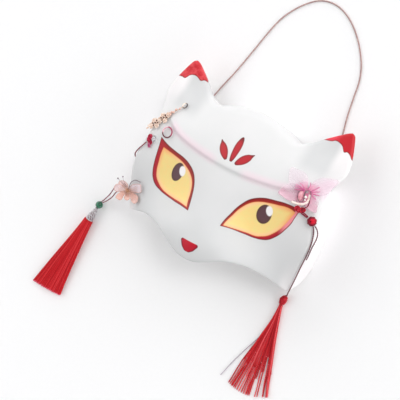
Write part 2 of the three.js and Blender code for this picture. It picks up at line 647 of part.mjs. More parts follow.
// The loose tassel as one flat fan with a fringed end.
function rightTassel() {
  const { neck, neckWidth, leftEdge, rightEdge, leftTip, rightTip, bulge } = RIGHT_TASSEL;
  const { fingers, notch, fingerWidth, thickness } = RIGHT_TASSEL;
  const tip = (share) => [mix(leftTip[0], rightTip[0], share),
    mix(leftTip[1], rightTip[1], share) - bulge * Math.sin(Math.PI * share)];
  const outline = [[neck[0] - neckWidth / 2, neck[1]], ...leftEdge];
  for (let k = 0; k < fingers; k++) {
    const share = (k + 0.5) / fingers;
    const reach = (side) => tip(share + (side * fingerWidth) / 2 / fingers);
    outline.push(reach(-1), reach(1));
    if (k < fingers - 1) {
      const between = tip((k + 1) / fingers);
      outline.push([0, 1].map((i) => mix(neck[i], between[i], notch)));
    }
  }
  outline.push(...[...rightEdge].reverse(), [neck[0] + neckWidth / 2, neck[1]]);
  const shape = new THREE.Shape(outline.map(([x, y]) => new THREE.Vector2(x, y)));
  const geometry = new THREE.ExtrudeGeometry(shape, { depth: thickness, bevelEnabled: false });
  geometry.translate(0, 0, FLOOR_GAP);
  return geometry;
}

const group = new THREE.Group();

function addPiece(name, geometry, colour, roughness, metalness = 0) {
  const material = new THREE.MeshStandardMaterial({ color: colour, roughness, metalness });
  const mesh = new THREE.Mesh(geometry, material);
  mesh.name = name;
  group.add(mesh);
  return mesh;
}

addPiece("mask_shell", maskShell(), "#f1f0ee", 0.55);
for (const [name, { colour, radius, steps, route }] of Object.entries(CORDS)) {
  addPiece(name, tube(route, radius, steps), colour, 0.7);
}
for (const [name, side] of [["strap_knot_left", -1], ["strap_knot_right", 1]]) {
  const knot = new THREE.SphereGeometry(STRAP_KNOT.radius, 8, 6);
  addPiece(name, knot, "#8e4a48", 0.7).position.set(side * STRAP_KNOT.x, STRAP_KNOT.y, STRAP_KNOT.z);
}

addPiece("gold_filigree", goldSprig(), "#d8b27c", 0.3, 1);
const pinkRing = new THREE.TorusGeometry(PINK_RING.radius, PINK_RING.wire, 5, 12);
bend(pinkRing, onFace({ ...PINK_RING, above: PINK_RING.wire + PINK_RING.above }));
addPiece("pink_ring", pinkRing, "#c4375f", 0.35, 0.6);
const crystal = new THREE.SphereGeometry(0.5, 8, 6);
crystal.scale(CRYSTAL.width, CRYSTAL.length, CRYSTAL.width);
bend(crystal, onFace({ ...CRYSTAL, above: CRYSTAL.width / 2 + CRYSTAL.above }));
addPiece("crystal_bead", crystal, "#e9eef0", 0.05);
addPiece("left_knot", bowKnot(LEFT_KNOT), "#b01733", 0.7);

// The left flower lies on the cheek and goes straight on beyond its edge.
const wireGround = (x, y) => {
  const face = faceHeight(x, y) + WIRE_FLOWER.above;
  const apart = face - WIRE_FLOWER.plane;
  return (face + WIRE_FLOWER.plane + Math.hypot(apart, WIRE_FLOWER.blend)) / 2;
};
addPiece("wire_flower", blossom(WIRE_FLOWER, wireGround), "#eab7a6", 0.4);
addPiece("jade_bead", new THREE.SphereGeometry(JADE.radius, 12, 8), "#1d6b4a", 0.2)
  .position.set(JADE.x, JADE.y, JADE.radius + FLOOR_GAP);
const capProfile = (share) => mix(CAP.top, CAP.bottom, share ** 0.8) + CAP.swell * Math.sin(Math.PI * share);
const capHeight = CAP.bottom + FLOOR_GAP;
addPiece("silver_cap", turned(CAP.start, CAP.end, capHeight, capProfile, 5, 12), "#b9babd", 0.3, 1);
addPiece("left_tassel", leftTassel(), "#c8202b", 0.6);

const organzaGround = (x, y) => faceHeight(x, y) + ORGANZA_FLOWER.above;
addPiece("organza_flower", blossom(ORGANZA_FLOWER, organzaGround), "#f0c3d6", 0.8);
addPiece("flower_hook", tube(HOOK.route, HOOK.wire, 10, 6), "#e3c39b", 0.25, 1);
const ovalBead = new THREE.SphereGeometry(0.5, 10, 7);
ovalBead.scale(OVAL_BEAD.length, OVAL_BEAD.width, OVAL_BEAD.width);
ovalBead.rotateZ(OVAL_BEAD.angle);
addPiece("oval_bead", ovalBead, "#e58ba4", 0.2).position.set(OVAL_BEAD.x, OVAL_BEAD.y, OVAL_BEAD.z);
addPiece("right_knot", bowKnot(RIGHT_KNOT), "#c21f31", 0.7);
addPiece("button_knot", new THREE.SphereGeometry(BUTTON_KNOT.radius, 12, 8), "#b3122c", 0.6)
  .position.set(BUTTON_KNOT.x, BUTTON_KNOT.y, faceHeight(BUTTON_KNOT.x, BUTTON_KNOT.y) + BUTTON_KNOT.above);
const barrel = (share) => {
  const { radius, ends, fullness } = TASSEL_KNOT;
  return radius * mix(ends, 1, Math.sin(Math.PI * share) ** fullness);
};
const barrelKnot = turned(TASSEL_KNOT.start, TASSEL_KNOT.end, TASSEL_KNOT.radius + FLOOR_GAP, barrel, 5, 10);
addPiece("tassel_knot", barrelKnot, "#c21f31", 0.7);
addPiece("right_tassel", rightTassel(), "#cc2a33", 0.6);

export default group;
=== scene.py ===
# A half-face fox mask with its strap, flower ornaments and two tassels, lying face up on a pale floor.
import json
from math import atan2, cos, hypot, pi, radians, sin, sqrt

import bmesh
import bpy
import numpy as np
from mathutils import Matrix, Vector
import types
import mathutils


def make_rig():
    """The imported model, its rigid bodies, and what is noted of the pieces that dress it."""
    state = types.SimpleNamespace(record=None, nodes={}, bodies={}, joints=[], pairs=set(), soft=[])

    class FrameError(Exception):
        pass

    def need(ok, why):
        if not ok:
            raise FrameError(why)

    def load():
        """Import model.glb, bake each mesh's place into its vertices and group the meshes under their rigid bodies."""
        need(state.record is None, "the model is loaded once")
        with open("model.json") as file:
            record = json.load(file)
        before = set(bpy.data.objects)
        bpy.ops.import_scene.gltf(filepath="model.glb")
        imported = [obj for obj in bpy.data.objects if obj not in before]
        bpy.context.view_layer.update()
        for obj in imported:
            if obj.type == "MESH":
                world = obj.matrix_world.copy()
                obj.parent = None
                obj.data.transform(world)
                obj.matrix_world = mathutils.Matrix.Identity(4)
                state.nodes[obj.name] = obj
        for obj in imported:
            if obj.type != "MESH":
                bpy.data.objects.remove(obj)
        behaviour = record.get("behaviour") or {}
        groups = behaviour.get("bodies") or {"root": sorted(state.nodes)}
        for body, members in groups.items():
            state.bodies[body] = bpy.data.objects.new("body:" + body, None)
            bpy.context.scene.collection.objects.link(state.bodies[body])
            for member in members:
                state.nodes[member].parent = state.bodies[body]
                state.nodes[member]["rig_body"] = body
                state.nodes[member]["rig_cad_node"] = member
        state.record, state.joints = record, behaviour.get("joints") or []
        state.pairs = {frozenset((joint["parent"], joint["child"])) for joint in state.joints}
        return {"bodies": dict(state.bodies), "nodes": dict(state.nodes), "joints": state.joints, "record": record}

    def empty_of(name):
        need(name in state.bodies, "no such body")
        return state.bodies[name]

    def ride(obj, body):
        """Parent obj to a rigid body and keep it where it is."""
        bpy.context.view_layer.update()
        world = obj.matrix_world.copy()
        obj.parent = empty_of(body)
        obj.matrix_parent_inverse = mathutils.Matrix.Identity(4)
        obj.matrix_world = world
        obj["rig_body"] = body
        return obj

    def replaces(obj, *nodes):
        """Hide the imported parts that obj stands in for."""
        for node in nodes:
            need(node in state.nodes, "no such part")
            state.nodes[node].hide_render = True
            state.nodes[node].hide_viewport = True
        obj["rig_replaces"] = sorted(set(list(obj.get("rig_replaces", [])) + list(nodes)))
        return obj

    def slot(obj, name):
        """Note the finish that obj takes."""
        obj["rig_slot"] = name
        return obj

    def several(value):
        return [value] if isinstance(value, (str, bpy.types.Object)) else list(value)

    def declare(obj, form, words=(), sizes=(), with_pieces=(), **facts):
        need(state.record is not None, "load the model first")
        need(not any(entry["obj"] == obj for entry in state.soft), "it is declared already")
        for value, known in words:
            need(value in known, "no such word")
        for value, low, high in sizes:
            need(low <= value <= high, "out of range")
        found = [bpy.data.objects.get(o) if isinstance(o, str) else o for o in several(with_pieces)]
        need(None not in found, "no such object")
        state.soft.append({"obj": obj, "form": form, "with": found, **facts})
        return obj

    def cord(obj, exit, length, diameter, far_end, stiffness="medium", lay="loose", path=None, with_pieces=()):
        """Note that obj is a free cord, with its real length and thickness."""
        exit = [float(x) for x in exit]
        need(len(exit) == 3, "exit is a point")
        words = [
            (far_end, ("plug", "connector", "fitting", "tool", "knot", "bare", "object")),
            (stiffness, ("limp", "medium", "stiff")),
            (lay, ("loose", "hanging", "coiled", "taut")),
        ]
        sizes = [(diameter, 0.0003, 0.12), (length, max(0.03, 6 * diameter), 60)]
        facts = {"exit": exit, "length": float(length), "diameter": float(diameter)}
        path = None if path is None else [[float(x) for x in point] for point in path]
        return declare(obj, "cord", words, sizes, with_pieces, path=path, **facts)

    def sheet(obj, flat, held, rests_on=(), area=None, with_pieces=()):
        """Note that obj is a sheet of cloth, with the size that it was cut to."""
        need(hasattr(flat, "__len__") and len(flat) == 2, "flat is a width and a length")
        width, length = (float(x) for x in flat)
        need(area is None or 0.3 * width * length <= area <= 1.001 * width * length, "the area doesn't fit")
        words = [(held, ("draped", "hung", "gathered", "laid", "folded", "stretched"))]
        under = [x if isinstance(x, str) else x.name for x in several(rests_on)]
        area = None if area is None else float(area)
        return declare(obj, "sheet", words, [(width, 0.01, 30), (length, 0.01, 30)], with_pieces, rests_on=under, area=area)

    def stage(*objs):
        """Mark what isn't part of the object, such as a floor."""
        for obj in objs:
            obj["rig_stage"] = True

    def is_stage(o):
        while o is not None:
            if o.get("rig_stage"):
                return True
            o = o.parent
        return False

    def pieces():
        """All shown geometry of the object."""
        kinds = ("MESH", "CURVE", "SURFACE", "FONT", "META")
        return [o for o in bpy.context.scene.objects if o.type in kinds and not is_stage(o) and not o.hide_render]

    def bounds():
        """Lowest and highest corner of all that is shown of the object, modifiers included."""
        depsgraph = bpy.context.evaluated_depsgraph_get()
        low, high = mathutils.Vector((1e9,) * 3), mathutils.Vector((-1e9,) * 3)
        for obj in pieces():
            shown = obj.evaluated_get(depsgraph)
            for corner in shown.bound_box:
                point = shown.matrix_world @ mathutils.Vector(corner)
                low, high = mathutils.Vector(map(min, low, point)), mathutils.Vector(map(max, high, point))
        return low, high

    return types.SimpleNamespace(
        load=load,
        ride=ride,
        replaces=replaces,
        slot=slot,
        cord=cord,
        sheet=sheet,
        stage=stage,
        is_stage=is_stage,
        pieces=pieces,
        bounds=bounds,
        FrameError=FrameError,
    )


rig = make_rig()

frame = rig.load()
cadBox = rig.bounds()
body = "root"
mm = 0.001  # places and sizes below are in millimetres
stacked = np.column_stack
print("frame loaded:", len(frame["nodes"]), "solids")


# A node's output, used like a number.
class Wire:
    def __init__(self, graph, socket):
        self.graph = graph
        self.socket = socket

    def other(self, name):  # another output of the same node
        return Wire(self.graph, self.socket.node.outputs[name])

    def __abs__(self):
        return self.graph.maths("ABSOLUTE", self)


def addOperator(name, operation):
    setattr(Wire, "__" + name + "__", lambda wire, value: wire.graph.maths(operation, wire, value))
    setattr(Wire, "__r" + name + "__", lambda wire, value: wire.graph.maths(operation, value, wire))


for pair in ("add", "ADD"), ("sub", "SUBTRACT"), ("mul", "MULTIPLY"), ("truediv", "DIVIDE"), ("pow", "POWER"):
    addOperator(*pair)


# A node tree and the one way to add a node to it.
class Graph:
    def __init__(self, tree):
        self.tree = tree

    def node(self, kind, settings=None, inputs=None, output=0):
        made = self.tree.nodes.new(kind)
        for key, value in (settings or {}).items():
            if key == "points":
                self.setPoints(made.mapping, value)
            else:
                setattr(made, key, value)
        for key, value in (inputs or {}).items():
            if isinstance(value, Wire):
                self.tree.links.new(value.socket, made.inputs[key])
            else:
                made.inputs[key].default_value = value
        return Wire(self, made.outputs[output]) if made.outputs else made

    def setPoints(self, mapping, points):
        curve = mapping.curves[0]
        while len(curve.points) < len(points):
            curve.points.new(1, 1)
        for point, place in zip(curve.points, points):
            point.location = place
        mapping.update()

    def maths(self, operation, *values):
        return self.node("ShaderNodeMath", {"operation": operation}, dict(enumerate(values)))

    def scaled(self, value, factor):
        return self.node("ShaderNodeVectorMath", {"operation": "SCALE"}, {0: value, "Scale": factor})

    def axes(self, place):
        x = self.node("ShaderNodeSeparateXYZ", None, {0: place})
        return x, x.other("Y"), x.other("Z")

    def shape(self, kind, first, more=None):  # a step that takes a shape in and gives one out
        return self.node("GeometryNode" + kind, None, {0: first, **(more or {})})

    def named(self, name):
        return self.node("GeometryNodeInputNamedAttribute", {"data_type": "FLOAT"}, {"Name": name})


# A material: its graph, the object's own places in millimetres and its closing shader.
class Finish(Graph):
    def __init__(self, name):
        self.material = bpy.data.materials.new(name)
        self.material.use_nodes = True
        super().__init__(self.material.node_tree)
        self.tree.nodes.clear()
        self.place = self.scaled(self.node("ShaderNodeTexCoord", output="Object"), 1 / mm)

    def attribute(self, name):
        return self.node("ShaderNodeAttribute", {"attribute_name": name}, output="Fac")

    def noise(self, scale, detail=3, roughness=0.5):
        inputs = {"Vector": self.place, "Scale": scale, "Detail": detail, "Roughness": roughness}
        return self.node("ShaderNodeTexNoise", None, inputs)

    def away(self, x, y):  # the distance in plan
        px, py, _ = self.axes(self.place)
        dx, dy = px - x, py - y
        return (dx * dx + dy * dy) ** 0.5

    def bump(self, height, depth, strength):
        inputs = {"Strength": strength, "Distance": depth * mm, "Height": height}
        return self.node("ShaderNodeBump", None, inputs)

    def close(self, **values):
        inputs = {key.replace("_", " "): value for key, value in values.items()}
        shader = self.node("ShaderNodeBsdfPrincipled", None, inputs)
        self.node("ShaderNodeOutputMaterial", None, {"Surface": shader})
        return self.material


def colour(tint):  # a screen colour as the linear values that nodes take
    if not isinstance(tint, str):
        return tint
    parts = [int(tint[i:i + 2], 16) / 255 for i in (1, 3, 5)]
    return tuple(p / 12.92 if p < 0.04045 else ((p + 0.055) / 1.055) ** 2.4 for p in parts) + (1,)


def ramp(value, low, high):  # 0 up to low, 1 from high on, smooth between them
    inputs = {"Value": value, "From Min": low, "From Max": high}
    return value.graph.node("ShaderNodeMapRange", {"interpolation_type": "SMOOTHSTEP"}, inputs)


def fall(value, low, high):
    return 1 - ramp(value, low, high)


def least(first, second):
    return first.graph.maths("MINIMUM", first, second)


# Lays colours over a first one. Each layer is how much of it shows, and its colour.
def layered(base, *layers):
    for share, tint in layers:
        inputs = {0: share, 6: colour(base), 7: colour(tint)}
        base = share.graph.node("ShaderNodeMix", {"data_type": "RGBA"}, inputs, 2)
    return base


# A curve's value at a running place, fitted into the 0 to 1 that the curve node works in.
def curveAt(run, points, start=0, length=1, low=0, height=10):
    stops = [((a - start) / length, (b - low) / height) for a, b in points]
    value = run.graph.node("ShaderNodeFloatCurve", {"points": stops}, {"Value": (run - start) / length})
    return value * height + low


def addMesh(name, vertices, faces, materials, indices=None, smooth=True):
    mesh = bpy.data.meshes.new(name)
    mesh.from_pydata(np.asarray(vertices, float) * mm, [], faces)
    for material in materials:
        mesh.materials.append(material)
    if indices is not None:
        mesh.polygons.foreach_set("material_index", indices)
    mesh.polygons.foreach_set("use_smooth", [smooth] * len(mesh.polygons))
    mesh.update()
    piece = bpy.data.objects.new(name, mesh)
    bpy.context.scene.collection.objects.link(piece)
    return piece


def faceOut(piece):
    worked = bmesh.new()
    worked.from_mesh(piece.data)
    bmesh.ops.recalc_face_normals(worked, faces=worked.faces)
    worked.to_mesh(piece.data)
    worked.free()
    return piece


def settle(piece, slotName, *nodes):
    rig.ride(piece, body)
    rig.slot(piece, slotName)
    if nodes:
        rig.replaces(piece, *nodes)
    return piece


def addNumbers(mesh, name, values):
    mesh.attributes.new(name, "FLOAT", "POINT").data.foreach_set("value", np.asarray(values, np.float32))


# Sends places, edges and a number for each place through a tree and makes the result a plain mesh.
def grown(name, places, edges, numbers, tree, sizes):
    mesh = bpy.data.meshes.new(name)
    mesh.from_pydata(np.asarray(places, float) * mm, edges, [])
    for key, values in numbers.items():
        addNumbers(mesh, key, values)
    source = bpy.data.objects.new(name, mesh)
    bpy.context.scene.collection.objects.link(source)
    modifier = source.modifiers.new(tree.name, "NODES")
    modifier.node_group = tree
    for item in tree.interface.items_tree:
        if item.in_out == "INPUT" and item.name in sizes:
            modifier[item.identifier] = sizes[item.name]
    shape = source.evaluated_get(bpy.context.evaluated_depsgraph_get())
    mesh = bpy.data.meshes.new_from_object(shape)
    source.modifiers.clear()
    bpy.data.objects.remove(source)
    mesh.name = name
    piece = bpy.data.objects.new(name, mesh)
    bpy.context.scene.collection.objects.link(piece)
    return faceOut(piece)


# Lines are lists of x, y, z. thick is the share of the radius along each, shade one value for each.
def strands(name, lines, material, radius, sides=6, lobes=0, depth=0, twist=0, thick=None, shades=None,
            loop=False):
    counts = [len(line) for line in lines]
    starts = np.cumsum([0] + counts[:-1])
    edges = [(s + k, s + k + 1) for s, n in zip(starts, counts) for k in range(n - 1)]
    if loop:
        edges += [(s + n - 1, s) for s, n in zip(starts, counts)]
    numbers = {"thick": np.ones(sum(counts)) if thick is None else np.hstack(thick),
               "shade": np.repeat(np.zeros(len(lines)) if shades is None else shades, counts),
               "along": np.hstack([np.linspace(0, 1, n) for n in counts])}
    sizes = {"Radius": radius * mm, "Sides": sides, "Lobes": float(lobes), "Depth": float(depth),
             "Twist": twist / mm, "Finish": material}
    return grown(name, np.vstack(lines), edges, numbers, yarnTree, sizes)


def beads(name, places, sizes, material, segments=12, rings=8):
    inputs = {"Segments": segments, "Rings": rings, "Finish": material}
    return grown(name, places, [], {"size": np.asarray(sizes, float) * mm}, beadTree, inputs)


# A tree for Geometry Nodes with named inputs.
def newTree(name, inputs):
    tree = bpy.data.node_groups.new(name, "GeometryNodeTree")
    for label, kind in inputs.items():
        tree.interface.new_socket(label, in_out="INPUT", socket_type="NodeSocket" + kind)
    tree.interface.new_socket("Shape", in_out="OUTPUT", socket_type="NodeSocketGeometry")
    graph = Graph(tree)
    first = graph.node("NodeGroupInput")
    return graph, {label: first.other(label) for label in inputs}


def closeTree(graph, shape, finish):
    shape = graph.shape("RealizeInstances", graph.shape("SetShadeSmooth", shape))
    graph.node("NodeGroupOutput", None, {0: graph.shape("SetMaterial", shape, {"Material": finish})})
    return graph.tree


# Yarn, thread and wire: a round or lobed section carried along lines, turned as it goes.
def makeYarnTree():
    kinds = {"Lines": "Geometry", "Radius": "Float", "Sides": "Int", "Lobes": "Float", "Depth": "Float",
             "Twist": "Float", "Finish": "Material"}
    graph, given = newTree("yarn", kinds)
    curve = graph.shape("MeshToCurve", given["Lines"])
    curve = graph.shape("SetCurveRadius", curve, {"Radius": graph.named("thick")})
    run = graph.node("GeometryNodeSplineParameter", output="Length")
    curve = graph.shape("SetCurveTilt", curve, {"Tilt": run * given["Twist"]})
    circle = {"Resolution": given["Sides"], "Radius": given["Radius"]}
    section = graph.node("GeometryNodeCurvePrimitiveCircle", {"mode": "RADIUS"}, circle)
    place = graph.node("GeometryNodeInputPosition")
    x, y, _ = graph.axes(place)
    swell = 1 + given["Depth"] * graph.maths("COSINE", given["Lobes"] * graph.maths("ARCTAN2", y, x))
    section = graph.shape("SetPosition", section, {"Position": graph.scaled(place, swell)})
    shape = graph.shape("CurveToMesh", curve, {"Profile Curve": section, "Fill Caps": True})
    return closeTree(graph, shape, given["Finish"])


# Beads: one small ball at each place, as large as the place says.
def makeBeadTree():
    kinds = {"Places": "Geometry", "Segments": "Int", "Rings": "Int", "Finish": "Material"}
    graph, given = newTree("beads", kinds)
    ball = {"Segments": given["Segments"], "Rings": given["Rings"], "Radius": 1.0}
    ball = graph.node("GeometryNodeMeshUVSphere", None, ball)
    shape = graph.shape("InstanceOnPoints", given["Places"], {"Instance": ball, "Scale": graph.named("size")})
    return closeTree(graph, shape, given["Finish"])


yarnTree, beadTree = makeYarnTree(), makeBeadTree()


def throughPoints(a, b, c, d, t):  # between b and c, with a before and d after them
    cubic = (2 * a - 5 * b + 4 * c - d) * t ** 2 + (3 * b - a - 3 * c + d) * t ** 3
    return 0.5 * (2 * b + (c - a) * t + cubic)


def closedLine(points, count):
    p = np.asarray(points, float)
    place = np.linspace(0, len(p), count, endpoint=False)
    i = np.floor(place).astype(int)
    return throughPoints(*(p[(i + k) % len(p)] for k in (-1, 0, 1, 2)), (place - i)[:, None])


# A smooth line through given places, as evenly spread points.
def smoothLine(route, gap):
    p = np.asarray(route, float)
    p = np.vstack([2 * p[0] - p[1], p, 2 * p[-1] - p[-2]])
    t = np.linspace(0, 1, 24, endpoint=False)[:, None]
    runs = [throughPoints(a, b, c, d, t) for a, b, c, d in zip(p, p[1:], p[2:], p[3:])]
    fine = np.vstack(runs + [p[-2:-1]])
    run = np.append(0, np.cumsum(np.linalg.norm(np.diff(fine, axis=0), axis=1)))
    wanted = np.linspace(0, run[-1], max(3, round(run[-1] / gap)))
    return stacked([np.interp(wanted, run, fine[:, k]) for k in range(3)])


def joined(name, pieces):
    target = pieces[0]
    with bpy.context.temp_override(active_object=target, selected_editable_objects=pieces):
        bpy.ops.object.join()
    target.name = name
    return target


cameraSet = {
    "eye": (347.37, 205.79, 1029.71),
    "lookAt": (-9.63, -25.21, 69.66),
    "imageUp": (-0.4314, 0.9004, -0.0562),
    "lens": 110.1,  # on a sensor 36 wide
}


def makeCamera():
    eye = Vector(cameraSet["eye"]) * mm
    back = (eye - Vector(cameraSet["lookAt"]) * mm).normalized()
    right = Vector(cameraSet["imageUp"]).cross(back).normalized()
    camera = bpy.data.objects.new("camera", bpy.data.cameras.new("camera"))
    camera.data.lens = cameraSet["lens"]
    camera.data.sensor_width = 36
    camera.data.clip_end = 20
    turned = Matrix((right, back.cross(right), back)).transposed().to_4x4()
    camera.matrix_world = Matrix.Translation(eye) @ turned
    bpy.context.scene.collection.objects.link(camera)
    bpy.context.scene.camera = camera
    return back, right


towardsCamera, imageRight = makeCamera()

studio = {
    "floorSide": 6000, "floor": "#fdfdfe", "fill": 0.28, "softness": 70,
    # the key stands near the camera, this far to the right of it and above it in the picture
    "key": {"right": 0.2, "up": 0.2, "energy": 0.52, "softness": 14},
    # soft lights round about: azimuth, elevation and energy
    "sides": [(0, 4, 0.9), (45, 12, 1.92), (135, 12, 1.36), (225, 12, 0.3), (315, 12, 0.6), (180, 40, 0.92),
              (225, 40, 0.2)],
}


def addSun(name, towards, energy, softness, tint):
    sun = bpy.data.objects.new(name, bpy.data.lights.new(name, "SUN"))
    sun.data.energy = energy
    sun.data.angle = radians(softness)
    sun.data.color = tint
    sun.matrix_world = towards.to_track_quat("Z", "Y").to_matrix().to_4x4()
    bpy.context.scene.collection.objects.link(sun)


def makeStudio():
    half = studio["floorSide"] / 2
    corners = [(x * half, y * half, -0.02) for x, y in ((-1, -1), (1, -1), (1, 1), (-1, 1))]
    finish = Finish("paleFloor")
    pale = layered("#fafafb", (finish.noise(0.35, 2), studio["floor"]))
    floor = addMesh("floor", corners, [(0, 1, 2, 3)], [finish.close(Base_Color=pale, Roughness=0.6)])
    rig.stage(floor)
    world = bpy.data.worlds.new("studio")
    world.use_nodes = True
    background = world.node_tree.nodes["Background"]
    background.inputs["Color"].default_value = (1, 1, 1, 1)
    background.inputs["Strength"].default_value = studio["fill"]
    bpy.context.scene.world = world
    key = studio["key"]
    towardsKey = towardsCamera + imageRight * key["right"] + towardsCamera.cross(imageRight) * key["up"]
    addSun("key", towardsKey.normalized(), key["energy"], key["softness"], (1, 0.99, 0.98))
    for azimuth, elevation, energy in studio["sides"]:
        a, e = radians(azimuth), radians(elevation)
        towards = Vector((cos(a) * cos(e), sin(a) * cos(e), sin(e)))
        addSun("side" + str(azimuth) + "at" + str(elevation), towards, energy, studio["softness"], (1, 1, 1))
    bpy.context.scene.view_settings.view_transform = "Standard"
    bpy.context.scene.view_settings.look = "None"


makeStudio()
print("camera, floor and light set")


# Twisted and covered cords
def cordFinish(name, dark, light, roughness=0.75):
    finish = Finish(name)
    fibre = finish.noise(3.2, 4, 0.7)
    tone = ramp(finish.noise(0.6, 2) + 0.35 * finish.attribute("shade"), 0.3, 0.85)
    base = layered(dark, (tone, light), (0.35 * fibre, dark))
    return finish.close(Base_Color=base, Roughness=roughness, Sheen_Weight=0.08, Specular_IOR_Level=0.2,
                        Normal=finish.bump(fibre, 0.12, 0.7))


elastic = cordFinish("elasticCover", "#b08e8c", "#d2b6b0", 0.7)
crimsonCord = cordFinish("crimsonCord", "#761a2c", "#a83a4c", 0.6)
roseCord = cordFinish("roseCord", "#7c2a3e", "#b0566a", 0.6)
tasselCord = cordFinish("tasselCord", "#5c2832", "#8e4c56", 0.6)
print("cord finishes made")

# What most of the cords have. Diameters and lengths are in metres, routes in millimetres.
redCord = {"slot": "red_cord", "finish": crimsonCord, "diameter": 0.001, "lobes": 2, "depth": 0.16,
           "twist": 1.6, "farEnd": "object"}
cords = {
    "headStrap": {
        "node": "head_strap", "slot": "elastic", "finish": elastic, "diameter": 0.0012, "length": 0.363,
        "lobes": 6, "depth": 0.1, "twist": 1.1, "farEnd": "object", "lay": "loose", "route": [
            (-73.2, 15.8, 6.4), (-72.4, 19.2, 4.5), (-71.2, 22.8, 2.4), (-69.8, 27, 1), (-67.8, 32.5, 0.7),
            (-65.2, 40.5, 0.7), (-62, 50.2, 0.7), (-57, 64, 0.7), (-51.1, 79, 0.7), (-44.2, 99.5, 0.7),
            (-37.5, 120.3, 0.7), (-32.8, 133.5, 0.7), (-26.5, 145.2, 0.7), (-15.3, 158.4, 0.7),
            (-2.4, 167.2, 0.7), (12.2, 168.8, 0.7), (27.2, 162.7, 0.7), (41.2, 150.1, 0.7),
            (52.6, 133.5, 0.7), (58, 118.6, 0.7), (59.6, 101.9, 0.7), (61.2, 85.3, 0.7), (63.5, 71.8, 0.7),
            (66, 58, 0.7), (68.2, 46, 0.7), (69.9, 35, 0.7), (70.8, 27, 1), (71.7, 22.8, 2.4),
            (72.4, 19.2, 4.5), (73.2, 15.8, 6.4),
        ],
    },
    "leftSideCord": redCord | {
        "node": "left_side_cord", "length": 0.0405, "lay": "taut", "route": [
            (-83.2, -4.3, 54.5), (-85, -7.2, 54), (-86.4, -9.4, 53.4), (-87.8, -11.6, 52.6),
            (-89.2, -13.9, 51.5), (-90.6, -16.1, 50.1), (-91.9, -18.2, 48.3), (-92.9, -20.2, 46.1),
            (-93.5, -22.1, 43.6), (-93.6, -23.8, 40.9), (-93.3, -25.5, 37.7), (-92.9, -26.8, 34.7),
            (-92.2, -27.7, 32.2), (-91.4, -28.2, 30.4), (-90.4, -28.3, 29.6),
        ],
    },
    "leftCordUpper": redCord | {
        "node": "left_cord_upper", "finish": roseCord, "diameter": 0.0009, "length": 0.059, "twist": 1.8,
        "farEnd": "fitting", "lay": "loose", "route": [
            (-98.6, -54.6, 44.6), (-100.2, -56.4, 42.6), (-101.9, -58.4, 40), (-103.7, -60.5, 36.9),
            (-105.6, -62.7, 33.4), (-107.6, -65, 29.6), (-109.7, -67.4, 25.6), (-111.9, -69.9, 21.6),
            (-114.1, -72.4, 17.7), (-116.3, -74.9, 14), (-118.5, -77.4, 10.7), (-120.6, -79.9, 7.9),
            (-122.5, -82.3, 5.8), (-124.2, -84.6, 4.5), (-125.5, -86.4, 4),
        ],
    },
    "leftCordLower": redCord | {
        "node": "left_cord_lower", "diameter": 0.0009, "length": 0.0585, "twist": 1.8, "lay": "loose",
        "route": [
            (-95, -58.3, 43.2), (-97, -60, 42), (-99, -62, 39.8), (-101.2, -64.4, 36.2),
            (-103.6, -67, 31.8), (-106.1, -69.6, 27), (-108.3, -71.7, 23.1), (-110.5, -73.9, 19.3),
            (-112.8, -76.1, 15.6), (-115.1, -78.3, 12.2), (-117.4, -80.5, 9.1), (-119.6, -82.6, 6.5),
            (-121.5, -84.4, 4.7), (-123.2, -86, 3.8), (-124.4, -87.1, 3.5),
        ],
    },
    "rightCordInner": redCord | {
        "node": "right_cord_inner", "finish": tasselCord, "length": 0.103, "farEnd": "knot", "lay": "hanging",
        "route": [
            (87.1, -4.3, 54.3), (88.3, -7, 52.8), (89.2, -9.8, 51.7), (89.9, -13, 50.9), (90.5, -17, 50.1),
            (90.9, -21.6, 49.6), (91, -26.9, 49), (90.4, -34.5, 47.6), (89.3, -43, 45.2),
            (88.1, -52.8, 41.6), (86.5, -63, 36.9), (85.4, -69.1, 33.9), (84.4, -72.4, 30.9),
            (83.3, -75, 26.6), (82, -77.4, 21.6), (80.6, -79.4, 16.6), (79.2, -81, 11.8), (78, -82, 7.8),
            (77, -82.7, 5.2),
        ],
    },
    "rightCordOuter": redCord | {
        "node": "right_cord_outer", "finish": tasselCord, "length": 0.034, "lay": "hanging",
        "route": [
            (88.4, -3.4, 54.6), (89.8, -4.6, 53.4), (91, -6, 52.3), (91.9, -7.6, 51.4), (92.6, -9.3, 50.8),
            (93, -11.1, 50.4), (93.2, -12.9, 50.2), (93.3, -14.7, 50.1), (93.2, -16.5, 50),
            (93, -18.3, 49.9), (92.8, -20.1, 49.8), (92.6, -21.9, 49.6), (92.5, -23.7, 49.4),
            (92.4, -25.4, 49.2), (92.4, -27, 49), (92.2, -30.7, 48.3), (91.8, -34.5, 47.5),
        ],
    },
}


def makeCords():
    for name, cord in cords.items():
        path = smoothLine(cord["route"], 0.4)
        radius = cord["diameter"] / 2 / mm
        piece = strands(name, [path], cord["finish"], radius, 12, cord["lobes"], cord["depth"], cord["twist"])
        cord["piece"] = settle(piece, cord["slot"], cord["node"])
        cord["path"] = path * mm


makeCords()
print("cords laid:", len(cords))

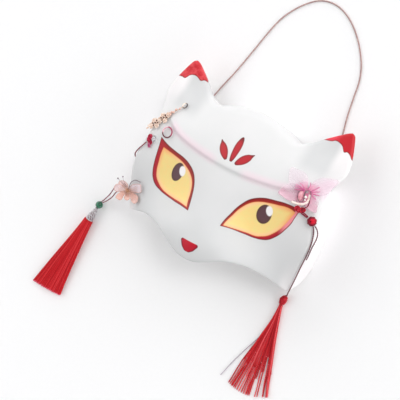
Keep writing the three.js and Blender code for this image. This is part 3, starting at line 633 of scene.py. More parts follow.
# The front passes through these places and their mirror images.
faceMarks = {
    "lipMiddle": (0, -76, 76.5), "lipMuzzle": (20, -70, 76.5), "lipCurl": (34, -63.4, 73.5),
    "lipHollow": (48, -61.2, 64.5), "lipCheek": (66, -65, 49), "corner": (83, -71.5, 33),
    "nose": (0, -61, 79), "muzzleSide": (24, -52, 75), "bridge": (0, -38, 74.5),
    "eyeInner": (16.2, -37.9, 70), "eyeUnder": (38, -37, 58.5), "eyeLow": (58, -34, 53.5),
    "browRoot": (0, -8, 65.5), "eyeTop": (28, -8, 60.5), "pupil": (44.3, -14.7, 55.6),
    "eyeOuter": (72, 3.4, 54.5), "cheekLow": (88, -48, 43.5), "cheekHigh": (90.5, -22, 50.5),
    "waist": (84.5, 20, 49), "mark": (0, 16, 62.5), "markTip": (0, 38, 55.5), "crown": (0, 55, 45),
    "crownSide": (28, 48, 47), "browSide": (58, 18, 56), "earBase": (43, 48, 43),
    "earOuter": (90.5, 46, 36), "earMiddle": (70, 52, 38.5), "earInner": (60, 62, 32.5),
    "earTip": (79, 75, 28.5),
}
# The fold round one half: x, y, radius, how far its edge is turned back, the edge's height and its inset.
foldMarks = [
    (0, -76.5, 2.3, 0.4, None, 0), (10, -74.8, 2.3, 0.4, None, 0), (21, -69.4, 2.3, 0.4, None, 0),
    (33, -63.4, 2.3, 0.4, None, 0), (46, -61.2, 2.3, 0.4, None, 0), (60, -63.1, 2.3, 0.4, None, 0),
    (74, -68.3, 2.4, 0.6, None, 0), (81, -71, 2.1, 2, None, 0.3), (84.2, -70.2, 2, None, 20, 0.6),
    (85.8, -66, 2.2, None, 8, 0.8), (88, -50, 3.2, None, 0, 0), (90.6, -24, 3.4, None, 0, 3),
    (87, 2, 3.6, None, 0, 7), (84.2, 20, 3.4, None, 0, 9), (86.5, 30, 3, None, 16, 5),
    (91, 43, 2.7, 8, None, 2), (89.2, 56, 2.6, 8, None, 2), (83.4, 72, 2.1, 7, None, 1.6),
    (80.2, 76.4, 2, 7, None, 1.4), (75.6, 75.6, 2.1, 7, None, 1.6), (61.2, 64.6, 2.6, 8, None, 2),
    (50, 55, 3.2, 14, None, 3), (40.4, 51.2, 4, None, 6, 5), (28, 55.6, 6, None, 0, 6),
    (14, 59.8, 7, None, 0, 7), (0, 61, 7, None, 0, 7),
]
shell = {
    "cornerIndex": 8, "earTipIndex": 18, "wall": 2, "columns": 216, "rows": 130, "foldSteps": 7,
    "wallSteps": 9, "rimSteps": 4, "rimRound": 0.8, "lookAhead": 0.4, "evenings": 400,
    "brow": {"y": 8.5, "rise": 8, "flick": 8, "reach": 73, "height": 1.7, "width": 1.6, "fade": 14, "end": 66,
             "endFade": 8},
    "earHollow": {"x": 70, "y": 53, "along": 13, "across": 8, "depth": 2.2, "lean": 0.75},
    "nose": {"y": -61.5, "across": 7, "along": 5, "height": 0.9},
}


def platePull(dx, dy):
    squared = np.maximum(dx * dx + dy * dy, 1e-12)
    return 0.5 * squared * np.log(squared)


# A thin plate bent through the marks and their mirror images.
def bentPlate():
    marks = np.array(list(faceMarks.values()), float)
    mx, my, mz = marks.T
    twin = (mx > 0).astype(float)
    n = len(marks)

    def pulls(x, y):
        x, y = x[..., None], y[..., None]
        return platePull(x - mx, y - my) + twin * platePull(x + mx, y - my)

    matrix = np.zeros((n + 2, n + 2))
    matrix[:n, :n] = pulls(mx, my)
    matrix[:n, n] = 1
    matrix[:n, n + 1] = my
    matrix[n, :n] = 1 + twin
    matrix[n + 1, :n] = (1 + twin) * my
    weights = np.linalg.solve(matrix, np.append(mz, (0, 0)))
    return lambda x, y: pulls(x, y) @ weights[:n] + weights[n] + weights[n + 1] * y


plateHeight = bentPlate()


def browLine(x):
    brow = shell["brow"]
    share = abs(x) / brow["reach"]
    return brow["y"] + brow["rise"] * share ** 2 + brow["flick"] * share ** 6


def faceHeight(x, y):
    x, y = np.asarray(x, float), np.asarray(y, float)
    brow, ear, nose = shell["brow"], shell["earHollow"], shell["nose"]
    away = y - browLine(x)
    beyond = np.maximum(0, np.abs(x) - brow["end"]) / brow["endFade"]
    ridge = brow["height"] * np.tanh(away / brow["width"])
    ridge = ridge * np.exp(-np.abs(away) / brow["fade"] - beyond ** 2)
    dx, dy = np.abs(x) - ear["x"], y - ear["y"]
    along = (dx * sin(ear["lean"]) + dy * cos(ear["lean"])) / ear["along"]
    across = (dx * cos(ear["lean"]) - dy * sin(ear["lean"])) / ear["across"]
    hollow = ear["depth"] * np.exp(-along ** 2 - across ** 2)
    tip = nose["height"] * np.exp(-(x / nose["across"]) ** 2 - ((y - nose["y"]) / nose["along"]) ** 2)
    return plateHeight(x, y) + ridge - hollow + tip


def foldTable():
    rows = []
    for x, y, radius, turned, rim, inset in foldMarks:
        if rim is None:
            rim = float(faceHeight(x, y)) - radius - turned
        rows.append((x, y, radius, rim, inset))
    half = np.array(rows, float)
    return np.vstack([half, half[1:-1][::-1] * (-1, 1, 1, 1, 1)])


foldPoints = foldTable()


# The fold at running indices: smooth in plan, straight between its values in everything else.
def foldAt(index):
    n = len(foldPoints)
    i = np.floor(index).astype(int)
    t = (index - i)[:, None]
    a, b, c, d = [foldPoints[(i + k) % n] for k in (-1, 0, 1, 2)]
    place = b + (c - b) * t
    place[:, :2] = throughPoints(a, b, c, d, t)[:, :2]
    return place


def foldStretch(start, end, steps):
    index = np.linspace(start, end, 60 * abs(end - start) + 1)
    line = foldAt(index)[:, :2]
    run = np.append(0, np.cumsum(np.hypot(*np.diff(line, axis=0).T)))
    index = np.interp(np.linspace(0, run[-1], steps + 1), run, index)
    ahead = foldAt(index + shell["lookAhead"])[:, :2] - foldAt(index - shell["lookAhead"])[:, :2]
    ahead /= np.hypot(*ahead.T)[:, None]
    return stacked([foldAt(index), ahead[:, 1], -ahead[:, 0]])


def shellSheet():
    columns, rows = shell["columns"], shell["rows"]
    n, corner, tip = len(foldPoints), shell["cornerIndex"], shell["earTipIndex"]
    bottom = foldStretch(-corner, corner, columns)
    right = foldStretch(corner, tip, rows)
    top = foldStretch(tip, n - tip, columns)[::-1]
    left = foldStretch(n - tip, n - corner, rows)[::-1]
    inner = [side[:, :2] - side[:, 5:7] * side[:, 2:3] for side in (bottom, right, top, left)]
    u = np.linspace(0, 1, columns + 1)[None, :, None]
    v = np.linspace(0, 1, rows + 1)[:, None, None]
    b, r, t, l = inner[0][None], inner[1][:, None], inner[2][None], inner[3][:, None]
    flat = (b[:, :1] * (1 - u) + b[:, -1:] * u) * (1 - v) + (t[:, :1] * (1 - u) + t[:, -1:] * u) * v
    plan = b * (1 - v) + t * v + l * (1 - u) + r * u - flat
    for _ in range(shell["evenings"]):  # evens the cells out, so that none is folded over near a corner
        around = plan[:-2, 1:-1] + plan[2:, 1:-1] + plan[1:-1, :-2] + plan[1:-1, 2:]
        plan[1:-1, 1:-1] = around / 4
    points = [np.dstack([plan, faceHeight(plan[..., 0], plan[..., 1])]).reshape(-1, 3)]
    grid = np.arange((rows + 1) * (columns + 1)).reshape(rows + 1, columns + 1)
    walk = np.vstack([bottom[:-1], right[:-1], top[1:][::-1], left[1:][::-1]])
    ring = np.hstack([grid[0, :-1], grid[:-1, -1], grid[-1, 1:][::-1], grid[1:, 0][::-1]])
    rings = [ring]
    x, y, radius, rim, inset, outX, outY = walk.T
    folds = [(pi / 2 * k / shell["foldSteps"], 0) for k in range(1, shell["foldSteps"] + 1)]
    folds += [(pi / 2, k / shell["wallSteps"]) for k in range(1, shell["wallSteps"] + 1)]
    for angle, down in folds:
        back = radius * (1 - sin(angle))
        crest = faceHeight(x - outX * back, y - outY * back) - radius * (1 - cos(angle))
        back = back + inset * down
        low = np.minimum(rim + shell["rimRound"], crest - 0.2)
        z = crest + (low - crest) * down
        rings.append(np.arange(len(x)) + sum(len(p) for p in points))
        points.append(stacked([x - outX * back, y - outY * back, z]))
    return np.vstack(points), grid, rings, walk


def quads(first, second, closed):
    if closed:
        first, second = np.append(first, first[0]), np.append(second, second[0])
    return stacked([first[:-1], second[:-1], second[1:], first[1:]])


def makeShellMesh(finishes):
    points, grid, rings, walk = shellSheet()
    front = np.vstack([quads(low, high, False) for high, low in zip(grid, grid[1:])]
                      + [quads(ring, other, True) for ring, other in zip(rings, rings[1:])])
    a, b, c, d = [points[front[:, k]] for k in range(4)]
    faceNormals = np.cross(c - a, d - b)
    normals = np.zeros_like(points)
    for k in range(4):
        np.add.at(normals, front[:, k], faceNormals)
    normals /= np.linalg.norm(normals, axis=1)[:, None]
    behind = points - normals * shell["wall"]
    last = rings[-1]
    outward = stacked([walk[:, 5:7], np.zeros(len(walk))])
    behind[last] = points[last] - outward * shell["wall"]
    n = len(points)
    extra, rim, before = [], [], last
    for k in range(1, shell["rimSteps"]):
        angle = pi * k / shell["rimSteps"]
        ring = points[last] - outward * shell["wall"] / 2 * (1 - cos(angle))
        ring[:, 2] -= shell["rimRound"] * sin(angle)
        numbers = 2 * n + len(extra) * len(last) + np.arange(len(last))
        extra.append(ring)
        rim.append(quads(before, numbers, True))
        before = numbers
    rim.append(quads(before, last + n, True))
    faces = np.vstack([front, front[:, ::-1] + n, *rim])
    sides = np.zeros(len(faces), int)
    sides[len(front):2 * len(front)] = 1
    vertices = np.vstack([points, behind, *extra])
    return addMesh("maskShell", vertices, faces.tolist(), finishes, sides)


# Paint on the shell. Each lid is a line over the straight way from the eye's inner to its outer corner, and
# bleed is how much pink shows in the outline's outer part.
eyes = {
    "left": {
        "side": -1, "inner": (15.9, -38.4), "outer": (71.7, 6.2),
        "outerUpper": [(0, 0), (5.5, 3.7), (10.8, 7.3), (16.7, 11.2), (23, 14.3), (29, 15.7),
                       (37.4, 14.8), (45, 12), (53, 7.5), (63, 2.6), (71.4, 0)],
        "outerLower": [(0, 0), (7, -5.5), (15.3, -13), (24.3, -19.7), (30, -23), (37.6, -25.7),
                       (43.8, -25), (49, -22.2), (55.3, -16.7), (61.7, -9.8), (67, -4.2), (71.4, 0)],
        "innerUpper": [(3.7, -0.6), (8, 1.6), (12.6, 5.1), (18.6, 9.2), (23.8, 11.3), (30, 11.8),
                       (36, 10.8), (42.7, 8.7), (49.2, 5.4), (56, 1.5), (62, -2.1)],
        "innerLower": [(3.7, -0.6), (10.3, -5.8), (17.8, -12.7), (24.9, -17.8), (30.2, -20.5),
                       (36.4, -21.6), (42, -21.2), (47, -18.5), (53.2, -12.6), (58, -7.5), (62, -2.1)],
        "pupil": {"place": (-44.2, -15.3), "across": (5.3, 4.2), "up": (-2.1, 7.7)},
        "glint": {"place": (-40, -12.6), "across": (2.8, 1.8), "up": (-1.9, 4)},
        "bleed": 0,
    },
    "right": {
        "side": 1, "inner": (16, -37.4), "outer": (71.7, 3.5),
        "outerUpper": [(0, 0), (4.1, 4.3), (9.6, 8.4), (15.5, 12.5), (21.3, 15.3), (27, 17.1),
                       (32.3, 17.4), (40, 16.1), (45.5, 14), (50, 11.8), (57.4, 8.2), (69.1, 0)],
        "outerLower": [(0, 0), (7.4, -4.2), (15.5, -10.3), (24, -16.2), (31.3, -19.2), (35.5, -19.7),
                       (39.4, -19.1), (45.4, -17.3), (52, -13.9), (58, -10.2), (62.2, -6.2), (69.1, 0)],
        "innerUpper": [(2.5, 0), (5.3, 2.7), (10.8, 6.6), (16.5, 10.4), (21.6, 12.6), (26, 13.8),
                       (31.4, 14.1), (36.6, 13.2), (41.6, 11.5), (46.6, 9.5), (51.6, 7.2), (56.6, 5),
                       (61, 2), (64, -1.5)],
        "innerLower": [(2.5, 0), (9.6, -4.4), (17.9, -9.8), (25.4, -14.6), (29.4, -15.6), (34.6, -16.1),
                       (40.4, -15), (46.5, -12.9), (53, -9.3), (58.5, -5.5), (64, -1.5)],
        "pupil": {"place": (44, -13.9), "across": (6.1, 3.1), "up": (-2.3, 8.1)},
        "glint": {"place": (47.2, -9.4), "across": (2.7, 1.3), "up": (-1.7, 4)},
        "bleed": 1,
    },
}
forehead = {  # petals: base, tip and half width along them
    "side": {"base": (4.4, 15), "tip": (16.8, 29),
             "widths": [(0, 0.7), (0.15, 2.3), (0.45, 3.6), (0.7, 2.9), (0.87, 1.2), (1, 0.2)]},
    "middle": {"base": (0, 15.2), "tip": (0.2, 38.4),
               "widths": [(0, 0.8), (0.12, 1.9), (0.35, 2.8), (0.65, 3.1), (0.85, 2.2), (0.95, 1.2),
                          (1, 0.3)]},
}
noseMark = {
    "top": -58.9, "depth": 10.4,
    "halfWidths": [(0, 6.5), (0.14, 8.4), (0.41, 7.4), (0.57, 6.5), (0.7, 5.6), (0.82, 4.2), (0.95, 2.4),
                   (1, 0.5)],
}
earTips = {  # where the red begins: distance from the middle and y, inside a frame of its own
    "start": 55, "length": 40, "low": 50, "height": 20,
    "right": [
        (55, 62), (63.2, 63.3), (66.2, 64.2), (69.2, 65.8), (72.7, 65.5), (75.9, 64.2), (78.3, 61.6),
        (80.1, 60.1), (82.4, 61.1), (84.7, 60.4), (88.5, 56.9), (95, 52),
    ],
    "left": [
        (55, 63), (60.9, 63.9), (63, 64.2), (66.6, 62.6), (69.3, 63.6), (72.6, 64.6), (75.6, 64.2),
        (78, 62.9), (79.7, 60.5), (81.3, 58.8), (84.2, 59), (87, 58.6), (95, 58),
    ],
}
# Among these, a grey is laid over the white as painted shade, and a lighter white is laid on the side walls as painted
# light.
paint = {
    "white": "#dfe0e0", "whiteWarm": "#e3e2e3", "cheek": "#cdcecf", "side": "#f6f2f3", "inside": "#e6e3df",
    "red": "#96221e", "crimson": "#ac1a2a", "darkRed": "#640c1a", "brick": "#c8442c", "yellow": "#efd98d",
    "yellowWarm": "#f6d488", "orange": "#f4a55c", "peach": "#fbc79a", "pink": "#f08f96", "pupil": "#5f4148",
    "pupilEdge": "#4a3212", "glint": "#f4f1f2", "blush": "#f3d6e2", "tipRed": "#c41c28",
    "tipBright": "#e2384a", "tipLight": "#dc4a50", "tipEdge": "#7a1a1c", "petalRed": "#ba2c34",
    "petalEdge": "#962d32", "petalDark": "#642828", "noseRed": "#be1029", "noseRim": "#780a28",
    "insidePale": "#f0eeeb", "insideDark": "#cfc8c0", "rosy": "#ecd8e2", "rosyPlace": (85, 27), "soft": 0.35,
}


def inEllipse(x, y, spot, edge):
    (ax, ay), (ux, uy), (px, py) = spot["across"], spot["up"], spot["place"]
    area = ax * uy - ay * ux
    dx, dy = x - px, y - py
    p = dx * (uy / area) - dy * (ux / area)
    q = dy * (ax / area) - dx * (ay / area)
    return ramp(1 - (p * p + q * q) ** 0.5, -edge, edge)


# Running places along and across a line from one point to another, and its length.
def alongLine(x, y, start, end):
    (sx, sy), (ex, ey) = start, end
    length = hypot(ex - sx, ey - sy)
    tx, ty = (ex - sx) / length, (ey - sy) / length
    dx, dy = x - sx, y - sy
    return dx * tx + dy * ty, dy * tx - dx * ty, length


def paintEye(ground, x, y, streak, eye):
    along, across, length = alongLine(x * eye["side"], y, eye["inner"], eye["outer"])
    soft = paint["soft"]
    lids = {key: curveAt(along, eye[key], 0, length, -length / 2, length)
            for key in ("outerUpper", "outerLower", "innerUpper", "innerLower")}
    toTop, toBottom = lids["outerUpper"] - across, across - lids["outerLower"]
    rim = least(toTop, toBottom)
    outline = ramp(toTop, -soft, soft) * ramp(toBottom, -soft, soft)
    outline = outline * ramp(along, 0, 0.6) * ramp(length - along, 0, 0.6)
    toLower = across - lids["innerLower"]
    toLid = least(lids["innerUpper"] - across, toLower)
    first, last = eye["innerUpper"][0][0], eye["innerUpper"][-1][0]
    inside = ramp(along, first - 0.4, first + 0.8) * ramp(last - along, -0.6, 0.8) * ramp(toLid, -soft, soft)
    bleed = eye["bleed"] * ramp(along / length, 0.62, 0.78) * ramp(rim, 0.5, 1.2) * fall(toLower, 0, 2)
    band = layered(
        paint["red"], (fall(across + 3 * (streak - 0.5), -2, 3), paint["crimson"]),
        (0.8 * fall(rim, 0.2, 1.7), paint["darkRed"]), (0.6 * fall(toLid * -1, 0.2, 1.3), paint["brick"]),
        (bleed * fall(across, 0, 4), paint["pink"]))
    glow = ramp(along / length, 0.55, 1.0) * fall(toLid, 0, 7) + fall(toLid, 0, 1.3) * 0.5
    pupil = layered(paint["pupilEdge"], (inEllipse(x, y, eye["pupil"], 0.5), paint["pupil"]))
    ball = layered(
        paint["yellow"], (ramp(streak, 0.2, 0.8), paint["yellowWarm"]),
        (0.8 * fall(toLid, 0.4, 4.5), paint["peach"]), (least(glow, 0.85), paint["orange"]),
        (inEllipse(x, y, eye["pupil"], 0.05), pupil), (inEllipse(x, y, eye["glint"], 0.16), paint["glint"]))
    return layered(ground, (outline, band), (inside, ball)), outline


def paintPetal(ground, x, y, petal):
    along, across, length = alongLine(x, y, petal["base"], petal["tip"])
    along = along / length
    edge = curveAt(along, petal["widths"]) - abs(across)
    mask = ramp(edge, -0.3, 0.3) * ramp(along, 0, 0.03) * ramp(1 - along, 0, 0.03)
    ends = ramp(along, 0.74, 0.95) + 0.7 * fall(along, 0.02, 0.2)
    red = layered(paint["petalEdge"], (ramp(edge, 0.4, 1.8), paint["petalRed"]),
                  (0.85 * ends, paint["petalDark"]))
    return layered(ground, (mask, red)), mask


def paintNose(ground, ax, y, z):
    down = (noseMark["top"] - y) / noseMark["depth"]
    edge = curveAt(down, noseMark["halfWidths"]) - ax
    mask = ramp(edge, -0.3, 0.3) * ramp(down, 0, 0.06) * ramp(1 - down, 0, 0.04) * ramp(z, 70, 74)
    return layered(ground, (mask, layered(paint["noseRim"], (ramp(edge, 0.2, 2.4), paint["noseRed"])))), mask


def paintEarTip(ground, x, y, streak, name):
    ax = abs(x)
    over = y - curveAt(ax, earTips[name], *(earTips[key] for key in ("start", "length", "low", "height")))
    if name == "left":
        red = layered(paint["tipLight"], (ramp(streak, 0.3, 0.7), paint["tipRed"]))
    else:
        red = layered(paint["tipRed"], (fall(ax + 6 * (streak - 0.5), 66, 74), paint["tipBright"]))
    red = layered(red, (0.8 * fall(over, 0.3, 1.3), paint["tipEdge"]))
    mask = ramp(over, -0.35, 0.35) * ramp(x * (-1 if name == "left" else 1), 52, 54)
    return layered(ground, (mask, red)), mask


def shellFinish():
    finish = Finish("paintedPulp")
    x, y, z = finish.axes(finish.place)
    ax = abs(x)
    mottle, streak = finish.noise(0.09, 4), finish.noise(0.22, 4, 0.6)
    end = shell["brow"]["end"]
    blush = fall(abs(y - browLine(x) - 1.5), 1, 7) * (0.35 + 0.4 * streak) * ramp(ax, 8, 20)
    # The white ground gets painted shade: greyer towards the bottom of the face, and greyer on the ears and upper
    # sides.
    ground = layered(
        paint["white"], (mottle, paint["whiteWarm"]), (0.75 * ramp(y * -1, -12, 45), paint["cheek"]),
        (0.8 * ramp(ax, 45, 58) * ramp(y, 28, 42), paint["cheek"]),
        # painted light: a lighter white on the outer walls, low down
        (0.85 * ramp(ax, 72, 80) * fall(z, 30, 52), paint["side"]),
        (blush * fall(ax, end - 4, end + 4), paint["blush"]),
        (0.8 * fall(finish.away(*paint["rosyPlace"]), 5, 13), paint["rosy"]))
    masks = []

    def lay(result):
        masks.append(result[1])
        return result[0]

    for eye in eyes.values():
        ground = lay(paintEye(ground, x, y, streak, eye))
    for sideways, name in ((ax, "side"), (x, "middle")):
        ground = lay(paintPetal(ground, sideways, y, forehead[name]))
    ground = lay(paintNose(ground, ax, y, z))
    for name in ("left", "right"):
        ground = lay(paintEarTip(ground, x, y, streak, name))
    height = finish.noise(0.9, 5, 0.6) * 0.6 + finish.noise(3.5, 2) * 0.4
    rough = 0.5 + 0.12 * mottle - 0.14 * least(sum(masks), 1)
    return finish.close(Base_Color=ground, Roughness=rough, Normal=finish.bump(height, 0.18, 0.55),
                        Specular_IOR_Level=0.35)


def insideFinish():
    finish = Finish("barePulp")
    fibre = finish.noise(0.8, 6, 0.7)
    base = layered(paint["inside"], (finish.noise(0.06, 3), paint["insidePale"]),
                   (ramp(fibre, 0.55, 0.8) * 0.5, paint["insideDark"]))
    return finish.close(Base_Color=base, Roughness=0.85, Normal=finish.bump(fibre, 0.5, 0.8))


maskShell = settle(makeShellMesh([shellFinish(), insideFinish()]), "painted_pulp", "mask_shell")
print("shell made:", len(maskShell.data.polygons), "faces")


# A place on the face in a small frame of its own: turned about its middle, and above the face by z.
def onFace(spot):
    c, s, scale = cos(spot.get("angle", 0)), sin(spot.get("angle", 0)), spot.get("scale", 1)

    def place(flat):
        a, b, z = np.asarray(flat, float).T
        px = spot["x"] + scale * (a * c - b * s)
        py = spot["y"] + scale * (a * s + b * c)
        return np.stack([px, py, faceHeight(px, py) + spot.get("above", 0) + scale * z], -1)
    return place


def ellipseLine(a, b, ra, rb, turn, z, count=40, swing=0.0):
    t = np.linspace(0, 2 * pi, count, endpoint=False)
    ea, eb = ra * np.cos(t), rb * np.sin(t)
    return stacked([a + ea * cos(turn) - eb * sin(turn), b + ea * sin(turn) + eb * cos(turn),
                    z + swing * np.sin(2 * t)])


# A line's start, its run and two directions square to it.
def squareTo(start, end):
    start, end = np.asarray(start, float), np.asarray(end, float)
    axis = (end - start) / np.linalg.norm(end - start)
    side = np.cross(axis, (0, 0, 1) if abs(axis[2]) < 0.9 else (0, 1, 0))
    side /= np.linalg.norm(side)
    return start, end - start, side, np.cross(side, axis)


def helix(start, end, radius, turns, points=18, lead=0.0):
    start, run, side, other = squareTo(start, end)
    t = np.linspace(0, 1, int(points * turns) + 1)
    angle = (2 * pi * turns * t + lead)[:, None]
    r = np.array([radius(s) for s in t])[:, None]
    return start + run * t[:, None] + r * (side * np.cos(angle) + other * np.sin(angle))


# A turned body along a line: its profile is a list of share along the line and radius.
def turnedBody(name, start, end, profile, sides, finish, smooth=True):
    start, run, side, other = squareTo(start, end)
    angle = np.linspace(0, 2 * pi, sides, endpoint=False)[:, None]
    turned = side * np.cos(angle) + other * np.sin(angle)
    vertices = np.vstack([start + run * share + turned * radius for share, radius in profile])
    grid = np.arange(len(vertices)).reshape(-1, sides)
    faces = np.vstack([quads(ring, above, True) for ring, above in zip(grid, grid[1:])]).tolist()
    faces += [grid[0][::-1].tolist(), grid[-1].tolist()]
    return faceOut(addMesh(name, vertices, faces, [finish], smooth=smooth))


# A turned body about its middle.
def turnedBead(name, spot, profile, sides, finish, smooth=True):
    middle, reach = np.array(spot["middle"]), np.array(spot["axis"]) * spot["halfLength"]
    return turnedBody(name, middle - reach, middle + reach, profile, sides, finish, smooth)


# Thin leaves with an even thickness. Each place takes shares along (0 to 1) and across (-1 to 1).
def leaves(name, places, rows, columns, thickness, finish):
    u, v = np.meshgrid(np.linspace(0, 1, rows + 1), np.linspace(-1, 1, columns + 1), indexing="ij")
    grid = np.arange(u.size).reshape(u.shape)
    under = np.vstack([quads(low, high, False) for low, high in zip(grid, grid[1:])])
    edge = np.concatenate([grid[:-1, 0], grid[-1, :-1], grid[1:, -1][::-1], grid[0, 1:][::-1]])
    leaf = np.vstack([under[:, ::-1], under + u.size, quads(edge, edge + u.size, True)])
    vertices, faces = [], []
    for number, place in enumerate(places):
        flat = place(u, v).reshape(-1, 3)
        vertices += [flat, flat + (0, 0, thickness)]
        faces.append(leaf + 2 * number * u.size)
    piece = addMesh(name, np.vstack(vertices), np.vstack(faces).tolist(), [finish])
    addNumbers(piece.data, "along", np.tile(u.ravel(), 2 * len(places)))
    addNumbers(piece.data, "across", np.tile(v.ravel(), 2 * len(places)))
    return faceOut(piece)


def threadFinish(name, dark, middle, light, tips=None):
    finish = Finish(name)
    shade = finish.attribute("shade") + 0.5 * (finish.noise(1.6, 3, 0.7) - 0.5)
    base = layered(dark, (ramp(shade, 0.1, 0.55), middle), (ramp(shade, 0.6, 0.95), light))
    if tips:
        base = layered(base, (ramp(finish.attribute("along"), 0.985, 1), tips))
    return finish.close(Base_Color=base, Roughness=0.5, Sheen_Weight=0.05, Specular_IOR_Level=0.15)


def metalFinish(name, dark, light, rough, metal):
    finish = Finish(name)
    wear = finish.noise(1.2, 4, 0.6)
    base = layered(dark, (ramp(wear, 0.3, 0.7), light))
    return finish.close(Base_Color=base, Roughness=rough + 0.15 * wear, Metallic=metal,
                        Normal=finish.bump(wear, 0.05, 0.5))


def glossFinish(name, dark, light, scale=0.5, rough=0.12, coat=0.4):
    finish = Finish(name)
    cloud = finish.noise(scale, 5, 0.6)
    base = layered(dark, (ramp(cloud, 0.35, 0.68), light))
    return finish.close(Base_Color=base, Roughness=rough + 0.1 * cloud, Coat_Weight=coat)


goldWire = metalFinish("paleGold", "#e0b496", "#fff4ea", 0.25, 0.5)
# the next finish is for the beads between the sprig's curls, which are painted shade
brownGold = metalFinish("brownGold", "#4c2e26", "#80584c", 0.4, 0.7)
tanGold = metalFinish("tanGold", "#d0a090", "#f4d2c4", 0.3, 0.6)
silver = metalFinish("oldSilver", "#b2acb2", "#f4f2f4", 0.25, 0.5)
capInner = metalFinish("capInner", "#5c3a44", "#cdb8be", 0.45, 0.3)
greyWire = metalFinish("greyWire", "#5c4c52", "#a0929a", 0.35, 0.7)
copperWire = metalFinish("copperWire", "#b07a58", "#eabc98", 0.35, 0.7)
dustyWire = metalFinish("dustyWire", "#c29282", "#eec6b6", 0.4, 0.3)
roseBead = glossFinish("roseBead", "#df8496", "#f3b4bf")
creamGold = glossFinish("creamGold", "#f6d6c8", "#fff4ee", 0.4, 0.15, 0.6)
jadeStone = glossFinish("jade", "#0c4330", "#2b8360", 0.45, 0.1, 0.5)
pearl = glossFinish("pearl", "#ece5e2", "#fbf7f4", 0.6, 0.2, 0.5)
tuftThread = threadFinish("tuftThread", "#cc5a92", "#ea86b4", "#f6b4d0")
redThread = threadFinish("redThread", "#bc121c", "#d01c26", "#e23c42", "#ee7088")
fringeThread = threadFinish("fringeThread", "#b01824", "#d8262f", "#f2666c", "#f09098")
greyThread = threadFinish("greyThread", "#6e6070", "#a496a4", "#c8bcc8")
knotRed = cordFinish("knotRed", "#a81228", "#ee3c54", 0.5)
knotBright = cordFinish("knotBright", "#b81426", "#f03a46", 0.5)
knotDark = cordFinish("knotDark", "#6c0c24", "#b0163a", 0.5)
leftKnotCord = cordFinish("leftKnotCord", "#9a1032", "#f04466", 0.5)
pinkCord = cordFinish("pinkCord", "#b84a78", "#e898b4", 0.6)
print("small finishes made")

strapKnots = {"x": 73.6, "y": 14, "height": 7.4, "size": 0.34, "cord": 0.58}


def makeStrapKnot(name, side):
    t = np.linspace(0, 2 * pi, 60, endpoint=False)
    trefoil = [np.cos(t) - 2 * np.cos(2 * t), np.sin(t) + 2 * np.sin(2 * t), -1.4 * np.sin(3 * t)]
    middle = (side * strapKnots["x"], strapKnots["y"], strapKnots["height"])
    line = stacked(trefoil) * strapKnots["size"] + middle
    return strands(name, [line], elastic, strapKnots["cord"], 10, 6, 0.08, 1, loop=True)


settle(makeStrapKnot("strapKnotLeft", -1), "elastic", "strap_knot_left")
settle(makeStrapKnot("strapKnotRight", 1), "elastic", "strap_knot_right")


# A round wire with a painted reflection: pale on one side and dark to the right and below, as it mirrors the room.
def paintedReflectionWire(name, middle, pale, dark, low):
    finish = Finish(name + "Wire")
    x, y, _ = finish.axes(finish.place)
    dx, dy = x - middle[0], y - middle[1]
    imageUp = towardsCamera.cross(imageRight)
    toRight = dx * imageRight.x + dy * imageRight.y
    toLow = dx * -imageUp.x - dy * imageUp.y
    base = layered(pale, (ramp(toRight, -0.6, 1.6), dark), (ramp(toLow - 0.5 * toRight, 0.8, 2.4), low))
    wear = finish.noise(1.5, 3)
    return finish.close(Base_Color=base, Roughness=0.25 + 0.1 * wear, Metallic=0.3,
                        Normal=finish.bump(wear, 0.05, 0.4))


sprig = {
    "ring": (-64.7, 39.1), "end": (-88.3, 7), "above": 1.3, "lift": 0.65, "ringSize": 2, "ringWire": 0.55,
    # the ring's three colours are a painted reflection
    "stemEnd": 17, "wire": 0.42, "ringPaintedReflection": ("#fbeadb", "#4a4244", "#6e6462"),
    # each curl: its share of the length, its place across and its size
    "curls": [(0.42, 0, 1), (0.53, 2.4, 1), (0.54, -2.3, 1), (0.65, 0.1, 1.1), (0.76, 2.4, 1.05),
              (0.77, -2.3, 1.05), (0.88, 0.1, 1)],
    # small beads: share of the length, place across and size. Wires carry the first three.
    "beads": [(1, 0, 1), (0.95, -1.5, 0.7), (0.93, 1.6, 0.7), (0.6, 0.1, 0.5), (0.71, 0, 0.5)],
    # lumps on the stem: place along, across and up, and size
    "lumps": [(5, 0.3, 0, 0.9), (8, -0.4, 0.2, 1.2), (11, 0.5, 0, 1), (12.6, -0.5, 0, 1.2),
              (14.4, 0.6, 0.2, 1.3)],
}


